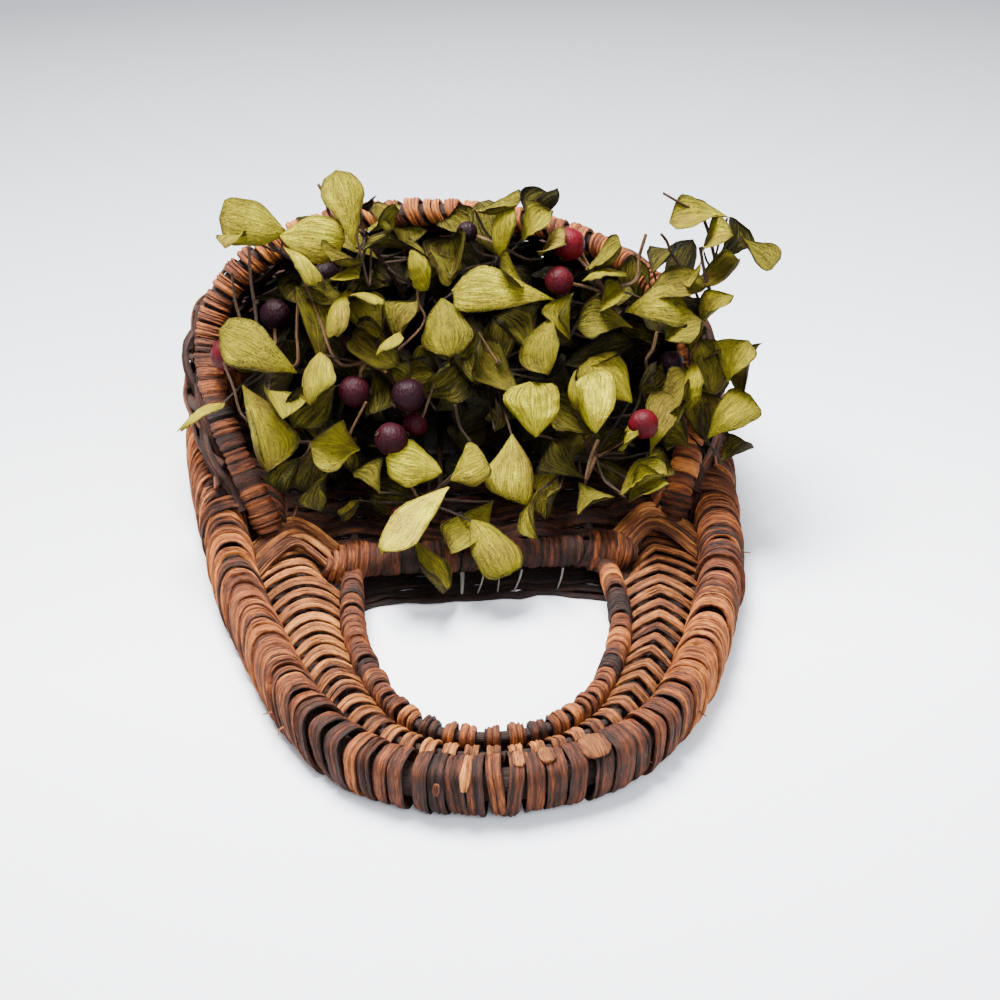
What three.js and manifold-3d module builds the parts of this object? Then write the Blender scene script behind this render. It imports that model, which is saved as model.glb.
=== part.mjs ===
// Hanging wall basket: a keyhole handle of wrapped vine rods and a bellied woven pocket that holds
// sprays of dried leaves and berries. It lies on its back: +Z is away from the wall, -Y is the handle
// end and +Y the foot of the pocket. The origin is on the back plane, under the middle of the hoop
// at the top of the handle. Lengths are millimetres; a name that ends in Share is a pure number.
import * as THREE from 'three';
import { mergeVertices } from 'three/addons/utils/BufferGeometryUtils.js';
import Module from 'manifold-3d';

const wasm = await Module();
wasm.setup();

// Overall frame
const hoopHalfWidth = 79.5;
const hoopLength = 231;
const seatCut = 0.5;
const gap = 0.4;

// Rods
const hoopRodWide = 9;
const hoopRodTall = 12.6;
const hoopWrapWide = 14;
const hoopWrapTall = 17.6;
const ringRodWidth = 3.4;
const middleRodWidth = 2.4;
const barRodWidth = 6;
const rimRodWidth = 5;

// Handle
const handleReach = 97;
const gripBand = 17.4;
const holeWidthShare = 0.494;
const holeHalfWidth = holeWidthShare * hoopHalfWidth;
const ringLift = 9.6;
const middleLift = 9.2;
const barLift = 10.6;

// Bark strips
const stripThickness = 1.4;
const splintThickness = 1.2;
const bandStripWidth = 6.4;
const ringStripWidth = 7;
const hoopStripWidth = 12;
const barStripWidth = 6.6;
const rimStripWidth = 10;

// Pocket
const mouthPastBar = 15;
const mouthFoot = handleReach + mouthPastBar;
const mouthWidthShare = 0.786;
const mouthFootHalfWidth = mouthWidthShare * hoopHalfWidth;
const mouthFootLift = 14;
const mouthRise = 64.5;
const mouthDepth = 72;
const mouthBulge = 28.5;
const mouthLean = 12;
const handleLean = 1.8;
const lastCourseInset = 33;
const lastCourseFoot = hoopLength - lastCourseInset;
const ribWidth = 3.2;
const courseWidth = 9;
const courseThickness = 1.3;
const frontCourses = 5;
const frontRibs = 7;

// Back panel
const stakeWidth = 3;
const stakeLift = 5.6;
const backPastBar = 16;
const backInset = 31.6;
const backStart = handleReach + backPastBar;
const backEnd = hoopLength - backInset;
const backRowGap = 2;
const backRows = 7;
const backRowPitch = (backEnd - backStart) / (backRows - 1);
const backRowWidth = backRowPitch - backRowGap;

// Foliage
const gluePadHalfWidth = 46;
const gluePadHalfDepth = 20;
const gluePadShare = 0.47;
const gluePadPlace = mouthFoot + gluePadShare * (hoopLength - mouthFoot);
const gluePadHeight = 4;
const stemWidth = 2.2;
const leafLength = 21;
const leafWidth = 12.5;
const leafThickness = 0.9;
const berryWidth = 10;
const pedicelWidth = 1.6;

// Shapes of the rods' centre lines, right half only, as shares of half width and of length
const hoopShares = [
  [0, 0], [0.3, 0.018], [0.516, 0.063], [0.66, 0.128], [0.75, 0.195], [0.84, 0.287], [0.91, 0.38],
  [0.95, 0.5], [0.99, 0.62], [1, 0.73], [0.93, 0.84], [0.72, 0.935], [0.39, 0.985], [0, 1],
];
const ringShares = [[0, 0], [0.42, 0.05], [0.7, 0.18], [0.88, 0.38], [0.98, 0.58], [1, 0.75], [0.97, 1]];

// Pure numbers: how much of its room a strip takes, how far courses swing, how square a wrap is
const stripRoomShare = 0.94;
const rowSwingShare = 1.08;
const courseSwingShare = 1.2;
const hoopSquareShare = 0.78;
const barEndShare = 0.05;
const ringEndShare = 0.02;
const rimEndShare = 0.01;

// Sides of the rods' sections
const thickSides = 8;
const rodSides = 6;
const thinSides = 5;
const stalkSides = 4;

// Turns of the windings, and points round one turn
const handleTurns = 24;
const pocketTurns = 16;
const barTurns = 9;
const ringTurns = 18;
const bandTurns = 23;
const rimTurns = 17;
const hoopSteps = 10;
const smallSteps = 8;

const zAxis = new THREE.Vector3(0, 0, 1);
const fineSteps = 400;
const halfSteps = 60;
const halfTurn = Math.PI;

// Outer width of a strip wound round a round rod
function wrapped(rodWidth) {
  return (rodWidth + stripThickness + 2 * gap) / Math.cos(halfTurn / smallSteps) + stripThickness;
}

const ringWrapWidth = wrapped(ringRodWidth);
const barWrapWidth = wrapped(barRodWidth);
const rimWrapWidth = wrapped(rimRodWidth);

const point = (x, y, z) => new THREE.Vector3(x, y, z);
const mix = THREE.MathUtils.lerp;

// Signed power, which squares up a circle's sine and cosine
function boxed(value, power) {
  return Math.sign(value) * Math.abs(value) ** power;
}

// Frames along a list of places: the direction of travel, the way up, and the way across
function framed(places, upAt, closed) {
  const count = places.length;
  return places.map((at, i) => {
    const before = places[closed ? (i + count - 1) % count : Math.max(i - 1, 0)];
    const after = places[closed ? (i + 1) % count : Math.min(i + 1, count - 1)];
    const along = after.clone().sub(before).normalize();
    const up = upAt(i).clone().addScaledVector(along, -upAt(i).dot(along)).normalize();
    return { at, along, up, across: up.clone().cross(along) };
  });
}

// A closed solid swept through frames; outlineAt gives each ring's points as [across, up] pairs.
// lean turns the diagonals so that a wound strip's two broad faces both bulge away from its rod
function sweep(frames, outlineAt, { closed = false, lean = false } = {}) {
  const rings = frames.map((frame, i) => outlineAt(i).map(([a, b]) => frame.at.clone()
    .addScaledVector(frame.across, a).addScaledVector(frame.up, b)));
  const sides = rings[0].length;
  const faces = [];
  const spans = closed ? rings.length : rings.length - 1;
  for (let i = 0; i < spans; i += 1) {
    const next = (i + 1) % rings.length;
    for (let j = 0; j < sides; j += 1) {
      const k = (j + 1) % sides;
      const corners = [i * sides + j, i * sides + k, next * sides + k, next * sides + j];
      const turned = lean && j >= sides / 2 ? [1, 2, 3, 0] : [0, 1, 2, 3];
      const [a, b, c, d] = turned.map((n) => corners[n]);
      faces.push([a, b, c], [a, c, d]);
    }
  }
  if (!closed) {
    const last = (rings.length - 1) * sides;
    for (let j = 1; j < sides - 1; j += 1) {
      faces.push([0, j + 1, j]);
      faces.push([last, last + j, last + j + 1]);
    }
  }
  const geometry = new THREE.BufferGeometry();
  const values = rings.flat().flatMap((p) => [p.x, p.y, p.z]);
  geometry.setAttribute('position', new THREE.Float32BufferAttribute(values, 3));
  geometry.setIndex(faces.flat());
  return geometry;
}

function round(width, sides, tall = width) {
  return Array.from({ length: sides }, (_, j) => {
    const turn = (2 * halfTurn * (j + 0.5)) / sides;
    return [(width / 2) * Math.cos(turn), (tall / 2) * Math.sin(turn)];
  });
}

function flat(width, thickness) {
  const a = width / 2;
  const b = thickness / 2;
  return [[a, -b], [a, b], [-a, b], [-a, -b]];
}

function toSolid(geometry) {
  const bare = geometry.clone();
  bare.deleteAttribute('normal');
  bare.deleteAttribute('uv');
  const merged = mergeVertices(bare);
  return new wasm.Manifold(new wasm.Mesh({
    numProp: 3,
    vertProperties: new Float32Array(merged.attributes.position.array),
    triVerts: new Uint32Array(merged.index.array),
  }));
}

function fromSolid(solid) {
  const mesh = solid.getMesh();
  const geometry = new THREE.BufferGeometry();
  geometry.setAttribute('position', new THREE.BufferAttribute(new Float32Array(mesh.vertProperties), 3));
  geometry.setIndex(new THREE.BufferAttribute(new Uint32Array(mesh.triVerts), 1));
  return geometry;
}

const basket = new THREE.Group();
const hoopLift = hoopWrapTall / 2 - seatCut;
const hoopTop = hoopWrapTall - seatCut;

function material(color, roughness) {
  return () => new THREE.MeshStandardMaterial({ color, roughness, metalness: 0 });
}

const darkBark = material('#6a3d27', 0.85);
const tanBark = material('#b98a5e', 0.8);
const vine = material('#4d2f20', 0.9);
const leafGreen = material('#8f9146', 0.75);
const berryRed = material('#6d1a30', 0.45);
const glueWhite = material('#e4e0d2', 0.5);

// A hand-made basket is never quite true: the handle leans one way and the mouth leans the other
function leaning({ x, y, z }) {
  const height = THREE.MathUtils.clamp((z - hoopTop) / mouthRise, 0, 1);
  const sway = handleLean * Math.sin((2 * halfTurn * y) / hoopLength);
  return point(x + sway - mouthLean * height * height, y, z);
}

function lean(geometry) {
  const corners = geometry.attributes.position;
  const corner = new THREE.Vector3();
  for (let i = 0; i < corners.count; i += 1) {
    corners.setXYZ(i, ...leaning(corner.fromBufferAttribute(corners, i)).toArray());
  }
  return geometry;
}

function add(name, geometry, finish) {
  geometry.deleteAttribute('normal');
  geometry.computeVertexNormals();
  const mesh = new THREE.Mesh(geometry, finish());
  mesh.name = name;
  basket.add(mesh);
}

function addWoven(name, geometry, finish) {
  add(name, lean(geometry), finish);
}

// Centre lines
function mirrored(shares, halfWidth, start, span, lift) {
  const right = shares.map(([x, y]) => point(x * halfWidth, start + y * span, lift));
  const left = right.slice(1).reverse().map((p) => point(-p.x, p.y, p.z));
  return [...left, ...right];
}

function hoopCurve() {
  const ring = mirrored(hoopShares, hoopHalfWidth, 0, hoopLength, hoopLift);
  const start = hoopShares.length - 1;
  const loop = [...ring.slice(start), ...ring.slice(1, start)];
  return new THREE.CatmullRomCurve3(loop, true, 'centripetal');
}

const hoop = hoopCurve();
const hoopSamples = hoop.getSpacedPoints(fineSteps);

// The right half of the hoop's line moved inwards, and where it passes a given y or a given x
function insideLine(inset) {
  return hoopSamples.slice(0, 1 + hoopSamples.length / 2).map((here, i) => {
    const outward = hoopSamples[i + 1].clone().sub(here).normalize().cross(zAxis);
    return here.clone().addScaledVector(outward, -inset);
  });
}

function crossing(line, key, value, other) {
  let found = 0;
  for (let i = 0; i < line.length - 1; i += 1) {
    const here = line[i][key] - value;
    const next = line[i + 1][key] - value;
    if (here * next <= 0 && here !== next) {
      found = Math.max(found, mix(line[i][other], line[i + 1][other], here / (here - next)));
    }
  }
  return found;
}

const hoopHalfLine = insideLine(0);
const pocketInside = insideLine(hoopWrapWide / 2 + gap);
const hoopReachAt = (y) => crossing(hoopHalfLine, 'y', y, 'x');
const insideReachAt = (y) => crossing(pocketInside, 'y', y, 'x');
const insideEndAt = (x) => crossing(pocketInside, 'x', x, 'y');

// Windings: one flat strip wound round a rod, with its own least gap worked out on its points
// reach gives the strip's distance from the rod's line to its outer and its inner side
function winding({ core, turns, steps, reach, tall, stripWidth, thickness, power, from, to }) {
  const total = turns * steps;
  const places = [];
  const ups = [];
  for (let i = 0; i <= total; i += 1) {
    const turn = (2 * halfTurn * i) / steps - halfTurn / 2;
    const frame = core(mix(from, to, i / total));
    const side = boxed(Math.cos(turn), power);
    const rise = boxed(Math.sin(turn), power);
    const wide = reach(frame.at, side);
    places.push(frame.at.clone().addScaledVector(frame.across, side * wide)
      .addScaledVector(frame.up, rise * tall));
    ups.push(frame.across.clone().multiplyScalar(Math.cos(turn) / wide)
      .addScaledVector(frame.up, Math.sin(turn) / tall).normalize());
  }
  const widths = places.map((at, i) => {
    const before = i >= steps ? at.distanceTo(places[i - steps]) : Infinity;
    const after = i + steps <= total ? at.distanceTo(places[i + steps]) : Infinity;
    return Math.min(stripWidth, Math.min(before, after) * stripRoomShare - 2 * gap);
  });
  const frames = framed(places, (i) => ups[i], false);
  const geometry = sweep(frames, (i) => flat(widths[i], thickness), { lean: true });
  return { geometry, space: spaceToItself(geometry, steps) };
}

function spaceToItself(geometry, steps) {
  const corners = geometry.attributes.position;
  const near = 4 * Math.round(steps / 2);
  const here = new THREE.Vector3();
  const there = new THREE.Vector3();
  let least = Infinity;
  for (let i = 0; i < corners.count; i += 1) {
    here.fromBufferAttribute(corners, i);
    for (let j = i + near; j < Math.min(i + 8 * steps, corners.count); j += 1) {
      least = Math.min(least, here.distanceTo(there.fromBufferAttribute(corners, j)));
    }
  }
  return least;
}

function addWinding(name, wound, finish, trim = false) {
  console.log(`${name}: least gap to itself ${wound.space.toFixed(2)} mm`);
  const geometry = trim ? fromSolid(toSolid(wound.geometry).trimByPlane([0, 0, 1], 0)) : wound.geometry;
  addWoven(name, geometry, finish);
}

// A rod core's frame at a share of its length, for a curve that lies flat or is given its way up
function coreOf(curve, upAt = () => zAxis) {
  return (share) => {
    const wrapped = curve.closed ? (share + 1) % 1 : share;
    const at = curve.getPointAt(wrapped);
    const along = curve.getTangentAt(wrapped);
    const up = upAt(wrapped).clone();
    up.addScaledVector(along, -up.dot(along)).normalize();
    return { at, along, up, across: along.clone().cross(up) };
  };
}

// Outer hoop and its two windings
const hoopParts = 38;
const hoopPlaces = hoop.getSpacedPoints(hoopParts).slice(0, hoopParts);
addWoven('outer_hoop', sweep(framed(hoopPlaces, () => zAxis, true),
  () => round(hoopRodWide, thickSides, hoopRodTall), { closed: true }), vine);

function shareAtY(y) {
  return hoopSamples.findIndex((p) => p.y > y) / (hoopSamples.length - 1);
}

const handleShare = shareAtY(mouthFoot);
const wrapJoin = (hoopStripWidth + 2 * gap) / hoop.getLength();
const hoopWinding = {
  core: coreOf(hoop),
  steps: hoopSteps,
  reach: () => (hoopWrapWide - stripThickness) / 2,
  tall: (hoopWrapTall - stripThickness) / 2,
  stripWidth: hoopStripWidth,
  thickness: stripThickness,
  power: hoopSquareShare,
};
addWinding('handle_wrap', winding({
  ...hoopWinding, turns: handleTurns, from: -handleShare, to: handleShare,
}), darkBark, true);
addWinding('pocket_wrap', winding({
  ...hoopWinding, turns: pocketTurns, from: handleShare + wrapJoin, to: 1 - handleShare - wrapJoin,
}), darkBark, true);

function roundWinding(curve, upAt, wrapWidth, turns, stripWidth, endShare) {
  const path = (wrapWidth - stripThickness) / 2;
  return winding({
    core: coreOf(curve, upAt),
    reach: () => path,
    tall: path,
    turns,
    steps: smallSteps,
    stripWidth,
    thickness: stripThickness,
    power: 1,
    from: endShare,
    to: 1 - endShare,
  });
}

// Cross bar, whose ends reach past the inner ring
const barHalf = holeHalfWidth + ringWrapWidth / 2;
const barPlaces = [-1, -0.5, 0, 0.5, 1].map((share) => point(share * barHalf, handleReach, barLift));
const bar = new THREE.CatmullRomCurve3(barPlaces);
addWoven('cross_bar', sweep(framed(barPlaces, () => zAxis, false),
  () => round(barRodWidth, thickSides)), vine);
addWinding('cross_bar_wrap',
  roundWinding(bar, () => zAxis, barWrapWidth, barTurns, barStripWidth, barEndShare), darkBark);

// Inner ring of the hand hole: its legs end under the wrapped bar
const ringParts = 32;
const ringSpan = handleReach - barWrapWidth / 2 - gap - gripBand;
const ringLine = mirrored(ringShares, holeHalfWidth, gripBand, ringSpan, ringLift);
const ringCurve = new THREE.CatmullRomCurve3(ringLine, false, 'centripetal');
addWoven('inner_ring', sweep(framed(ringCurve.getSpacedPoints(ringParts), () => zAxis, false),
  () => round(ringRodWidth, thinSides)), vine);
addWinding('inner_ring_wrap',
  roundWinding(ringCurve, () => zAxis, ringWrapWidth, ringTurns, ringStripWidth, ringEndShare), darkBark);

// Middle rib: midway between the two wraps round the handle, then down each side of the back panel
const ringSamples = ringCurve.getSpacedPoints(2 * halfSteps);
const barSamples = bar.getSpacedPoints(halfSteps);

function nearest(at, places) {
  return places.reduce((best, p) => (at.distanceTo(p) < at.distanceTo(best) ? p : best), places[0]);
}

function roomTo(at, places) {
  return at.distanceTo(nearest(at, places));
}

function level(at, height) {
  return point(at.x, at.y, height);
}

const middleMarks = 7;
const middleHandle = Array.from({ length: middleMarks }, (_, i) => {
  const inner = level(ringSamples[halfSteps + (i * halfSteps) / (middleMarks - 1)], hoopLift);
  const outer = nearest(inner, hoopSamples);
  const share = (1 + (ringWrapWidth - hoopWrapWide) / (2 * inner.distanceTo(outer))) / 2;
  return level(inner.clone().lerp(outer, share), middleLift);
});
const legReach = middleHandle[middleMarks - 1].x;
const rightMiddle = [
  ...middleHandle,
  point(legReach, backStart, stakeLift),
  point(legReach, mix(backStart, backEnd, 0.5), stakeLift),
  point(legReach, backEnd - backRowPitch, stakeLift),
];
const leftMiddle = rightMiddle.slice(1).reverse().map((p) => point(-p.x, p.y, p.z));
const middleCurve = new THREE.CatmullRomCurve3([...leftMiddle, ...rightMiddle], false, 'centripetal');
addWoven('middle_rib', sweep(framed(middleCurve.getSpacedPoints(44), () => zAxis, false),
  () => round(middleRodWidth, thinSides)), vine);

// Tan strip woven round the middle rib, as wide as the room between the two wraps
const bandCrown = 1.1;
const bandTall = middleRodWidth / 2 + gap + splintThickness / 2 + bandCrown;
function bandReach(at, side) {
  const room = side > 0
    ? roomTo(level(at, hoopLift), hoopSamples) - hoopWrapWide / 2
    : Math.min(roomTo(level(at, ringLift), ringSamples) - ringWrapWidth / 2,
      roomTo(level(at, barLift), barSamples) - barWrapWidth / 2);
  return room - 2 * gap - splintThickness / 2;
}

const middleSamples = middleCurve.getSpacedPoints(fineSteps);
const bandEnd = mouthFoot - (rimWrapWidth + bandStripWidth) / 2;
const bandFrom = middleSamples.findIndex((p) => p.y < bandEnd) / (middleSamples.length - 1);
addWinding('band_weaver', winding({
  core: coreOf(middleCurve),
  reach: bandReach,
  tall: bandTall,
  turns: bandTurns,
  steps: smallSteps,
  stripWidth: bandStripWidth,
  thickness: splintThickness,
  power: hoopSquareShare,
  from: bandFrom,
  to: 1 - bandFrom,
}), tanBark);

// Pocket front: a bellied surface; course is 0 at the mouth and 1 at the foot, turn goes from the
// right side over the top to the left side
const archShare = 1.1;
const bulgeShare = 0.3;
const bellyShare = 0.62;
const footBlendShare = 16;
const courseFootLift = hoopTop + 1.5 * gap;
const mouthTop = mouthFootLift + mouthRise;
const mouthApex = mouthFoot + mouthDepth;

const smallShare = 0.01;

function belly(share) {
  return share * share + 2 * bellyShare * share * (1 - share);
}

function frontAt(course, turn) {
  const footY = mix(mouthFoot, lastCourseFoot, course);
  const blend = (1 - course) ** footBlendShare;
  const footX = mix(hoopReachAt(footY), mouthFootHalfWidth, blend);
  const footZ = mix(courseFootLift, mouthFootLift, blend);
  const apexY = mix(mouthApex, hoopLength, belly(course));
  const apexZ = mix(courseFootLift, mouthTop, belly(1 - course));
  const rise = Math.sin(turn) ** archShare;
  const bulge = mouthBulge * (1 - course) ** archShare * Math.sin(2 * turn) * Math.sin(turn) ** bulgeShare;
  return point(Math.cos(turn) * footX + bulge, mix(footY, apexY, rise), mix(footZ, apexZ, rise));
}

function frontNormal(course, turn) {
  const here = frontAt(course, turn);
  const on = frontAt(Math.min(course + smallShare, 1), turn)
    .sub(frontAt(Math.max(course - smallShare, 0), turn));
  const over = frontAt(course, Math.min(turn + smallShare, halfTurn))
    .sub(frontAt(course, Math.max(turn - smallShare, 0)));
  const normal = on.cross(over).normalize();
  const outward = here.clone().sub(point(0, mix(mouthFoot, hoopLength, 0.5), hoopLift));
  return normal.dot(outward) < 0 ? normal.negate() : normal;
}

// Mouth rim, which rises from inside the hoop and arches over
const rimFootTurn = 0.02;
const rimParts = 32;
const rimPlaces = Array.from({ length: rimParts + 1 },
  (_, i) => frontAt(0, mix(rimFootTurn, halfTurn - rimFootTurn, i / rimParts)));
const rim = new THREE.CatmullRomCurve3(rimPlaces, false, 'centripetal');
const mouthNormal = point(0, -mouthRise, mouthDepth).normalize();
addWoven('mouth_rim', sweep(framed(rim.getSpacedPoints(rimParts), () => mouthNormal, false),
  () => round(rimRodWidth, rodSides)), vine);
addWinding('mouth_rim_wrap',
  roundWinding(rim, () => mouthNormal, rimWrapWidth, rimTurns, rimStripWidth, rimEndShare), darkBark);

// Front ribs run from the mouth rim over the belly to the hoop
const ribTurns = Array.from({ length: frontRibs }, (_, i) => (halfTurn * (i + 1)) / (frontRibs + 1));
const ribParts = 12;
const courseSwing = (ribWidth / 2 + gap + courseThickness / 2) * courseSwingShare;

const rimSamples = rim.getSpacedPoints(2 * halfSteps);

function ribStart(turn) {
  let course = 0;
  while (roomTo(frontAt(course, turn), rimSamples) < (rimWrapWidth + ribWidth) / 2) {
    course += smallShare / 10;
  }
  return course;
}

// The front stands on top of the wrapped hoop, cut flat there
function standing(geometry) {
  return fromSolid(toSolid(geometry).trimByPlane([0, 0, 1], courseFootLift));
}

ribTurns.forEach((turn, i) => {
  const start = ribStart(turn);
  const shares = Array.from({ length: ribParts + 1 }, (_, k) => mix(start, 1, k / ribParts));
  const places = shares.map((course) => frontAt(course, turn));
  const frames = framed(places, (k) => frontNormal(shares[k], turn), false);
  addWoven(`front_rib_${i + 1}`, standing(sweep(frames, () => round(ribWidth, thinSides))), vine);
});

// Front courses weave over and under the ribs, from one side of the hoop to the other
const firstCourseShare = 0.2;
const lastCourseShare = 0.74;
const courseParts = 3 * (frontRibs + 1);
const courseStepShare = (lastCourseShare - firstCourseShare) / (frontCourses - 1);
const courseFootTurn = 0.03;

function courseRoom(course, turn) {
  const here = frontAt(course, turn);
  const along = frontAt(course, turn + smallShare).sub(frontAt(course, turn - smallShare)).normalize();
  const beside = [-courseStepShare, courseStepShare].map((step) => {
    const away = frontAt(Math.min(course + step, 1), turn).sub(here);
    return away.addScaledVector(along, -away.dot(along)).length() / 2;
  });
  return Math.min(...beside, roomTo(here, rimSamples) - rimWrapWidth / 2) * 2 - 2 * gap;
}

for (let i = 0; i < frontCourses; i += 1) {
  const course = firstCourseShare + i * courseStepShare;
  const turns = Array.from({ length: courseParts + 1 },
    (_, k) => mix(courseFootTurn, halfTurn - courseFootTurn, k / courseParts));
  const places = turns.map((turn) => {
    const swing = courseSwing * Math.cos((frontRibs + 1) * turn + i * halfTurn);
    return frontAt(course, turn).addScaledVector(frontNormal(course, turn), swing);
  });
  const widths = turns.map((turn) => Math.min(courseWidth, courseRoom(course, turn)));
  const frames = framed(places, (k) => frontNormal(course, turns[k]), false);
  const strip = sweep(frames, (k) => flat(widths[k], courseThickness));
  addWoven(`front_course_${i + 1}`, standing(strip), darkBark);
}

// Back panel: stakes from the cross bar to the foot of the hoop, and flat rows woven through them.
// The middle rib's legs stand where the third stake on either side would
const stakePitch = legReach / 3;
const stakePlaces = [-2, -1, 0, 1, 2].map((n) => n * stakePitch);
stakePlaces.forEach((x, i) => {
  const ends = [
    point(x, handleReach + barWrapWidth / 2 + gap, stakeLift),
    point(x, insideEndAt(Math.abs(x) + stakeWidth / 2), stakeLift),
  ];
  addWoven(`back_stake_${i + 1}`, sweep(framed(ends, () => zAxis, false),
    () => round(stakeWidth, rodSides)), vine);
});

const rowCrossing = (stakeWidth / 2 + gap + splintThickness / 2) * rowSwingShare;
for (let i = 0; i < backRows; i += 1) {
  const y = backStart + i * backRowPitch;
  const reach = Math.min(insideReachAt(y - backRowWidth / 2), insideReachAt(y + backRowWidth / 2));
  const marks = Math.floor((2 * reach) / stakePitch);
  const inner = Array.from({ length: 2 * marks + 1 }, (_, k) => ((k - marks) * stakePitch) / 2);
  const places = [-reach, ...inner.filter((x) => Math.abs(x) < reach - gap), reach].map((x) => point(
    x, y, stakeLift + rowCrossing * Math.cos((halfTurn * x) / stakePitch + i * halfTurn)));
  const row = sweep(framed(places, () => zAxis, false), () => flat(backRowWidth, splintThickness));
  addWoven(`back_row_${i + 1}`, row, tanBark);
}

// Patch of hardened glue on the back panel, which holds the stems
const padBottom = stakeLift + rowCrossing + splintThickness / 2 + gap;
const padTop = padBottom + gluePadHeight;
const padShares = [[0, 0], [0.86, 0], [1, 0.45], [0.9, 1], [0, 1]];
const padSides = 18;
const pad = new THREE.LatheGeometry(padShares.map(([r, h]) => new THREE.Vector2(r, h)), padSides);
pad.rotateX(halfTurn / 2);
pad.scale(gluePadHalfWidth, gluePadHalfDepth, gluePadHeight);
pad.translate(0, gluePadPlace, padBottom);
add('glue_patch', fromSolid(toSolid(pad)), glueWhite);

// Foliage places: across as a share of the hoop's half width, up the mouth as a share of its slope,
// and out of it as a share of a leaf's length
const mouthSlope = Math.hypot(mouthRise, mouthDepth);
const mouthUp = point(0, mouthDepth, mouthRise).normalize();

function foliageAt([across, up, out]) {
  return point(across * hoopHalfWidth, mouthFoot, mouthFootLift)
    .addScaledVector(mouthUp, up * mouthSlope)
    .addScaledVector(mouthNormal, out * leafLength);
}

const sprayTipShares = [
  [-0.73, 0.86, 0.8], [-0.38, 0.88, 1], [-0.8, 0.5, 0.6], [-0.7, 0.24, 0.5],
  [-0.38, 0.46, 1], [-0.2, 0.02, 0.7], [0.12, 0.44, 1.15], [0.15, 0.82, 0.95],
  [0.55, 0.66, 1], [0.98, 0.72, 0.88], [0.93, 0.3, 0.6], [0.48, 0.14, 0.8],
];
const berryShares = [
  [0.41, 0.81, 1.05], [0.36, 0.68, 1.3], [-0.91, 0.53, 0.43], [-0.72, 0.66, 0.33], [-0.43, 0.37, 0.95],
  [-0.23, 0.34, 1.2], [-0.3, 0.21, 1.05], [0.65, 0.22, 1.15], [-0.52, 0.77, 0.48], [0.79, 0.44, 0.57],
];

// A stem's root on the glue, and the place it passes inside the mouth
const rootShare = 0.45;
const viaShares = [0.59, 0.34, -0.35];
const viaUpShare = 0.75;
const bendShare = 0.4;
const stemParts = 7;
const stems = sprayTipShares.map(([across, up, out]) => {
  const rootY = gluePadPlace + (up - 0.5) * gluePadHalfDepth;
  const root = point(rootShare * across * hoopHalfWidth, rootY, padTop);
  const via = foliageAt([viaShares[0] * across, mix(viaShares[1], up, viaUpShare), viaShares[2]]);
  const tip = foliageAt([across, up, out]);
  const bend = root.clone().lerp(via, bendShare);
  const line = new THREE.CatmullRomCurve3([root, bend, via, tip], false, 'centripetal');
  return { root, tip, line, samples: line.getSpacedPoints(halfSteps) };
});

const berries = berryShares.map((place) => {
  const centre = foliageAt(place);
  const joint = nearest(centre, stems.flatMap((stem) => stem.samples));
  const toward = joint.clone().sub(centre);
  const reach = toward.length() - (stemWidth + 3 * gap) / 2;
  return { centre, foot: centre.clone().addScaledVector(toward.normalize(), reach) };
});

const courseSamples = Array.from({ length: halfSteps + 1 },
  (_, i) => frontAt(firstCourseShare, (i * halfTurn) / halfSteps));
const leafFloor = barLift + barWrapWidth / 2;
const obstacles = [
  ...rimSamples.map((at) => ({ at: leaning(at), size: rimWrapWidth / 2 + stripThickness })),
  ...barSamples.map((at) => ({ at: leaning(at), size: barWrapWidth / 2 })),
  ...courseSamples.map((at) => ({ at: leaning(at), size: courseWidth / 2 })),
  ...berries.map(({ centre }) => ({ at: centre, size: berryWidth / 2 + pedicelWidth })),
  ...berries.flatMap(({ centre, foot }) => [0.5, 0.75, 1].map((share) => ({
    at: centre.clone().lerp(foot, share), size: pedicelWidth,
  }))),
];

// A leaf grows only where it is nearer its own stem than any other, and clear of rods and berries
function hasRoom(places, own) {
  return places.every((p) => {
    if (p.z < leafFloor) {
      return false;
    }
    const mine = roomTo(p, stems[own].samples);
    const apart = stems.every((stem, i) => i === own || roomTo(p, stem.samples) > mine + stemWidth);
    return apart && obstacles.every(({ at, size }) => p.distanceTo(at) > size + 2 * gap);
  });
}

const leafStationShares = [0, 0.36, 0.7, 1];
const leafWidthShares = [0.08, 0.96, 0.84, 0.05];
const leafCurlShare = 0.22;
const leafFoldShare = 0.35;
const leafSplayShare = 0.55;
const leafTwist = 0.3;
const leastLeafShare = 0.4;
const leafShrinkShare = 0.85;

function leafPlaces(base, along, normal, size) {
  return leafStationShares.map((share) => base.clone().addScaledVector(along, share * size * leafLength)
    .addScaledVector(normal, -leafCurlShare * share * share * size * leafLength));
}

function leafSolid(places, normal, size) {
  return toSolid(sweep(framed(places, () => normal), (i) => {
    const half = (leafWidthShares[i] * size * leafWidth) / 2;
    const drop = i === 0 || i === leafStationShares.length - 1 ? 0 : leafFoldShare * half;
    return [[half, -drop], [0, leafThickness / 2], [-half, -drop], [0, -leafThickness / 2]];
  }));
}

function leafEdges(places, normal, size) {
  const along = places[places.length - 1].clone().sub(places[0]).normalize();
  const across = normal.clone().cross(along).multiplyScalar((size * leafWidth) / 2);
  const sides = [places[1], places[2]].flatMap((p) => [p.clone().add(across), p.clone().sub(across)]);
  return [...places.slice(1), ...sides];
}

function grownLeaf(base, along, own, turn) {
  const across = along.clone().cross(mouthNormal).normalize();
  const normal = across.clone().cross(along).normalize().applyAxisAngle(along, turn);
  for (let size = 1; size > leastLeafShare; size *= leafShrinkShare) {
    const places = leafPlaces(base, along, normal, size);
    if (hasRoom(leafEdges(places, normal, size), own)) {
      return leafSolid(places, normal, size);
    }
  }
  return null;
}

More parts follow.
